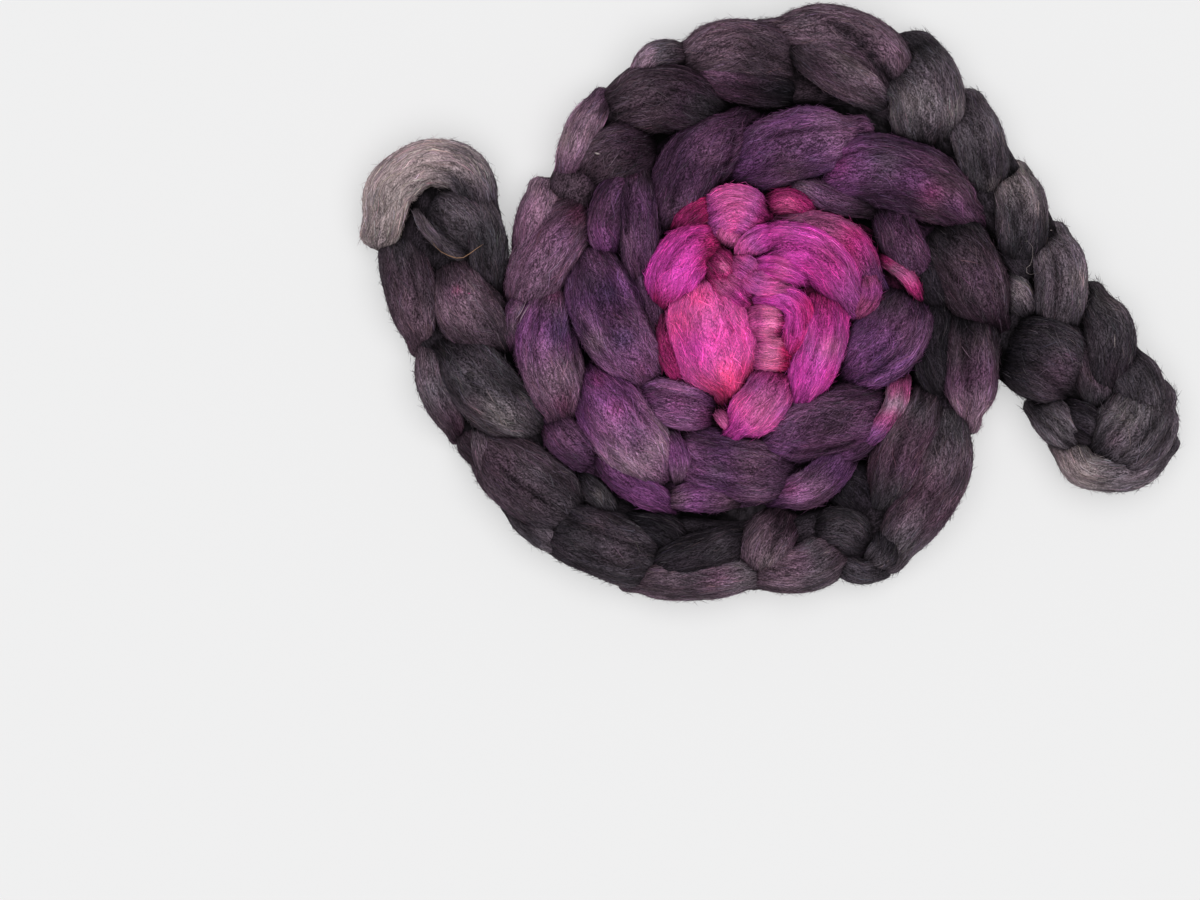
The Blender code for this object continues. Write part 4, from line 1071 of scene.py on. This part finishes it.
# their shades: the middle and spread, the spread left on dark, middling and bright dyes, and the limits
FIBRE_SHADE = (0.05, 0.65)
CONTRAST_SHARE = (1.0, 0.95, 0.65)
SHADE_LIMITS = (0.3, 2.8)
FIBRE_TINT = 0.07
GLINT_START = -0.2
GLINT = 0.03 * np.array([1.0, 0.9, 1.0])
# fuzz that stands off the wool
FUZZ_COUNT = 38000
FUZZ_TRIES = 5
FUZZ_STATIONS = 3
FUZZ_LENGTHS = (2.5, 9.0)
FUZZ_RADIUS = 0.11
FUZZ_FROM_END = 4.0
FUZZ_LOWEST = 4.0
FUZZ_ON_FLANKS = 0.6
FLANK_SPREAD = 0.35
FUZZ_ANGLES = (0.1, 0.9)
FUZZ_LEAN = 0.5
FUZZ_RISE = (0.05, 0.5)
FUZZ_CURL = 0.35
FUZZ_SUNK = 0.3
# the fuzz is paler than the wool on average, a painted sheen of fine fibres in the light, and spread at
# random
FUZZ_SHADE = (0.25, 0.3)
chance = np.random.default_rng(11)


def seen(laid, point):
    """Whether each point lies on the outside of the coil."""
    cell = map_cell(point)
    return (point[..., 2] > top_level[cell] - HIDDEN_BELOW) | (top_fold[cell] == laid.number)


def unit(vectors):
    """The vectors at length one."""
    return vectors / np.maximum(np.linalg.norm(vectors, axis=-1, keepdims=True), 1e-6)


def spindle(stations):
    """A closed spindle of three sides: which station and turn each point is at, and its triangles."""
    along = [0] + [station for station in range(1, stations - 1) for _ in range(3)] + [stations - 1]
    turn = [0.0] + [side * 2.0 * math.pi / 3.0 for _ in range(1, stations - 1) for side in range(3)] + [0.0]
    last = len(along) - 1
    faces = []
    for side in range(3):
        beside = (side + 1) % 3
        faces.append((0, 1 + side, 1 + beside))
        faces.append((last, last - 3 + beside, last - 3 + side))
        for first in range(1, last - 5, 3):
            faces.append((first + side, first + 3 + side, first + 3 + beside))
            faces.append((first + side, first + 3 + beside, first + beside))
    return np.array(along), np.array(turn), np.array(faces)


def fibre_finish():
    """A single fibre shows only its stored dye, with the painted shade and glint in it."""
    finish, sockets, dye = new_finish("single_fibres", FIBRE_ROUGHNESS)
    dye.feed(sockets["Base Color"])
    return finish


fibre_wool = fibre_finish()


def fibre_piece(name, lines, outs, colours, radius):
    """One piece of fibres, from their middle lines (fibre, station, axis), outward directions and colours."""
    stations = lines.shape[1]
    along, turn, faces = spindle(stations)
    heading = unit(np.gradient(lines, axis=1))
    side = unit(np.cross(heading, outs))
    up = np.cross(side, heading)
    thick = radius * chance.uniform(*FIBRE_GIRTHS, (len(lines), 1, 1))
    thick = thick * np.sin(math.pi * along / (stations - 1))[None, :, None]
    turned = np.cos(turn)[None, :, None] * side[:, along] + np.sin(turn)[None, :, None] * up[:, along]
    points = lines[:, along] + thick * turned
    points[..., 2] = np.maximum(points[..., 2], LOWEST_FIBRE)
    triangles = faces[None] + (np.arange(len(lines)) * len(along))[:, None, None]
    mesh = bpy.data.meshes.new(name)
    mesh.from_pydata((points * MM).reshape(-1, 3), [], triangles.reshape(-1, 3))
    write_dye_and_shading(mesh, lit(points.reshape(-1, 3), colours[:, along].reshape(-1, 3)))
    cells = math.ceil(math.sqrt(len(lines)))
    number = np.arange(len(lines))
    corner = np.stack([number % cells, number // cells], axis=-1)[:, None, :]
    # each fibre stands upright in its own cell of the flat layout
    place = np.stack([0.5 + 0.4 * np.cos(turn), 0.05 + 0.9 * along / (stations - 1)], axis=-1)[None]
    flat = ((corner + place) / cells)[:, faces].reshape(-1, 2)
    mesh.uv_layers.new(name="OFBake").uv.foreach_set("vector", flat.astype(np.float32).ravel())
    mesh.shade_smooth()
    item = bpy.data.objects.new(name, mesh)
    bpy.context.collection.objects.link(item)
    join_coil(item, fibre_wool)


def fibres_on(laid, count):
    """Middle lines, outward directions and colours of the fibres that lie along a fold."""
    if laid.along[-1] - laid.along[0] <= SHORTEST_FOLD:
        count = 1
    tries = FIBRE_TRIES * count
    length = chance.uniform(*FIBRE_LENGTHS, tries)
    start = chance.uniform(laid.along[0] + FIBRE_FROM_END, laid.along[-1] - FIBRE_FROM_END, tries)
    start = start - 0.5 * length
    angle = chance.uniform(*FIBRE_ANGLES, tries) * math.pi
    drift = chance.normal(0.0, FIBRE_DRIFT, tries)
    bow = chance.normal(0.0, FIBRE_BOW, tries)
    share = np.linspace(0.0, 1.0, FIBRE_STATIONS)[None]
    along = start[:, None] + share * length[:, None]
    along = np.clip(along, laid.along[0] + TIP_MARGIN, laid.along[-1] - TIP_MARGIN)
    turned = angle[:, None] + drift[:, None] * (2.0 * share - 1.0) * length[:, None] / DRIFT_LENGTH
    turned = turned + bow[:, None] * np.sin(2.0 * math.pi * share + angle[:, None] * BOW_PHASE)
    lift = FIBRE_LIFT[0] + chance.normal(0.0, FIBRE_LIFT[1], tries)
    proud = lift[:, None] * np.sin(math.pi * share) ** 0.5 - ENDS_SUNK
    line, out = on_fold(laid, along, turned, proud)
    keep = seen(laid, line[:, 2]) & (along[:, -1] - along[:, 0] > SHORTEST_FIBRE)
    keep = np.flatnonzero(keep)[:count]
    colour = dyed_and_shaded(laid, along[keep], turned[keep], line[keep])
    calm = np.interp(colour.mean(axis=(1, 2)), BRIGHT_DYE, CONTRAST_SHARE)
    shade = np.exp(FIBRE_SHADE[0] + FIBRE_SHADE[1] * calm * chance.normal(0.0, 1.0, len(keep)))
    shade = np.clip(shade, *SHADE_LIMITS)[:, None]
    shade = shade * chance.normal(1.0, FIBRE_TINT, (len(keep), 3))
    glint = GLINT * np.maximum(chance.normal(GLINT_START, 1.0, (len(keep), 1, 1)), 0.0)
    return line[keep], out[keep], colour * shade[:, None, :] + glint


def fuzz_on(laid, count):
    """Middle lines, outward directions and colours of the fine fibres that stand off a fold."""
    tries = FUZZ_TRIES * count
    length = chance.uniform(*FUZZ_LENGTHS, tries)
    start = chance.uniform(laid.along[0] + FUZZ_FROM_END, laid.along[-1] - FUZZ_FROM_END, tries)
    beside = chance.random(tries) < FUZZ_ON_FLANKS
    flank = np.where(chance.random(tries) < 0.5, 0.0, math.pi) + chance.normal(0.0, FLANK_SPREAD, tries)
    angle = np.where(beside, flank, chance.uniform(*FUZZ_ANGLES, tries) * math.pi)
    root, out = on_fold(laid, start, angle)
    onward, _ = on_fold(laid, start + 1.0, angle)
    heading = unit(onward - root) * np.where(chance.random(tries) < 0.5, 1.0, -1.0)[:, None]
    aside = np.cross(heading, out)
    lean = chance.normal(0.0, FUZZ_LEAN, tries)[:, None]
    rise = chance.uniform(*FUZZ_RISE, tries)[:, None]
    curl = chance.normal(0.0, FUZZ_CURL, tries)[:, None, None]
    way = unit(heading + lean * aside + rise * out)
    share = np.linspace(0.0, 1.0, FUZZ_STATIONS)[None, :, None]
    line = root[:, None] + share * length[:, None, None] * way[:, None]
    line = line + curl * share ** 2 * length[:, None, None] * aside[:, None] - FUZZ_SUNK * out[:, None]
    keep = np.flatnonzero(seen(laid, root) & (root[:, 2] > FUZZ_LOWEST))[:count]
    shade = np.exp(chance.normal(*FUZZ_SHADE, len(keep)))
    colour = dyed_and_shaded(laid, start[keep], angle[keep], root[keep]) * shade[:, None]
    outs = np.repeat(out[keep][:, None], FUZZ_STATIONS, axis=1)
    colours = np.repeat(colour[:, None], FUZZ_STATIONS, axis=1)
    return line[keep], outs, colours


open_folds = [(name, laid) for name, laid in laid_folds if name != "packed_under"]
areas = {
    laid.number: np.count_nonzero(top_fold == laid.number) + EDGE_AREA * laid.line_length
    for name, laid in open_folds
}
total_area = sum(areas.values())
for group in dict(open_folds):
    fibres = []
    fuzz = []
    for name, laid in open_folds:
        if name == group:
            fibres.append(fibres_on(laid, round(FIBRE_COUNT * areas[laid.number] / total_area)))
            fuzz.append(fuzz_on(laid, round(FUZZ_COUNT * areas[laid.number] / total_area)))
    fibre_piece(group + "_fibres", *map(np.concatenate, zip(*fibres)), FIBRE_RADIUS)
    fibre_piece(group + "_fuzz", *map(np.concatenate, zip(*fuzz)), FUZZ_RADIUS)

# ---------------------------------------------------------------------------------------------------------
# A few stray bits lie on the wool or hang over its edge: a tan thread, curled pale hairs, wisps and specks of
# fluff. Each row is its line in plan, its thickness, how far above the wool it lies, and its colour.
STRAY_STATIONS = 10
STRAY_BRIGHTNESS = 1.6
STRAY_SMOOTHING = 1.5
STRAYS = (
    (((-230, 42), (-225, 35), (-218, 31), (-210, 29), (-203, 32), (-196, 37), (-192, 39)), 0.30, 0.8, "tan"),
    (((180, 40), (187, 40), (190, 33), (189, 25), (186, 22), (187, 18), (192, 18), (195, 19)), 0.22, 0.8,
     "pale_ash"),
    (((246, -24), (246, -34)), 0.25, 0.8, "pale_ash"),
    (((139, -32), (146, -42)), 0.25, 0.8, "pale_mauve"),
    (((-90, -73), (-75, -86), (-66, -98), (-64, -108)), 0.30, 0.8, "lilac"),
    (((-160, -2), (-165, -10), (-169, -18)), 0.60, 0.8, "pale_mauve"),
    (((-163, 0), (-167, -9), (-172, -15)), 0.45, 0.8, "pale_mauve"),
    (((-116, 102), (-112, 101)), 0.60, 0.6, "pale_ash"),
    (((203, 49), (205, 49)), 0.45, 0.6, "pale_ash"),
    (((-204, 4), (-202, 4)), 0.45, 0.6, "old_rose"),
    (((68, -190), (66, -200)), 0.25, 0.0, "slate"),
    (((72, -191), (74, -201)), 0.25, 0.0, "slate"),
    (((78, -190), (82, -198)), 0.25, 0.0, "slate"),
)
stray_level = np.maximum(top_level, blurred(wool_level, STRAY_SMOOTHING))
for number, (line, thick, lift, dye) in enumerate(STRAYS):
    line = smooth_line(line)
    line = line[np.linspace(0, len(line) - 1, STRAY_STATIONS).round().astype(int)]
    level = stray_level[map_cell(line)] + lift
    line = np.concatenate([line, level[:, None]], axis=1)[None]
    outs = np.tile([0.0, 0.0, 1.0], (1, STRAY_STATIONS, 1))
    colours = np.tile(STRAY_BRIGHTNESS * dye_colour(dye), (1, STRAY_STATIONS, 1))
    fibre_piece("stray_%d" % number, line, outs, colours, thick)
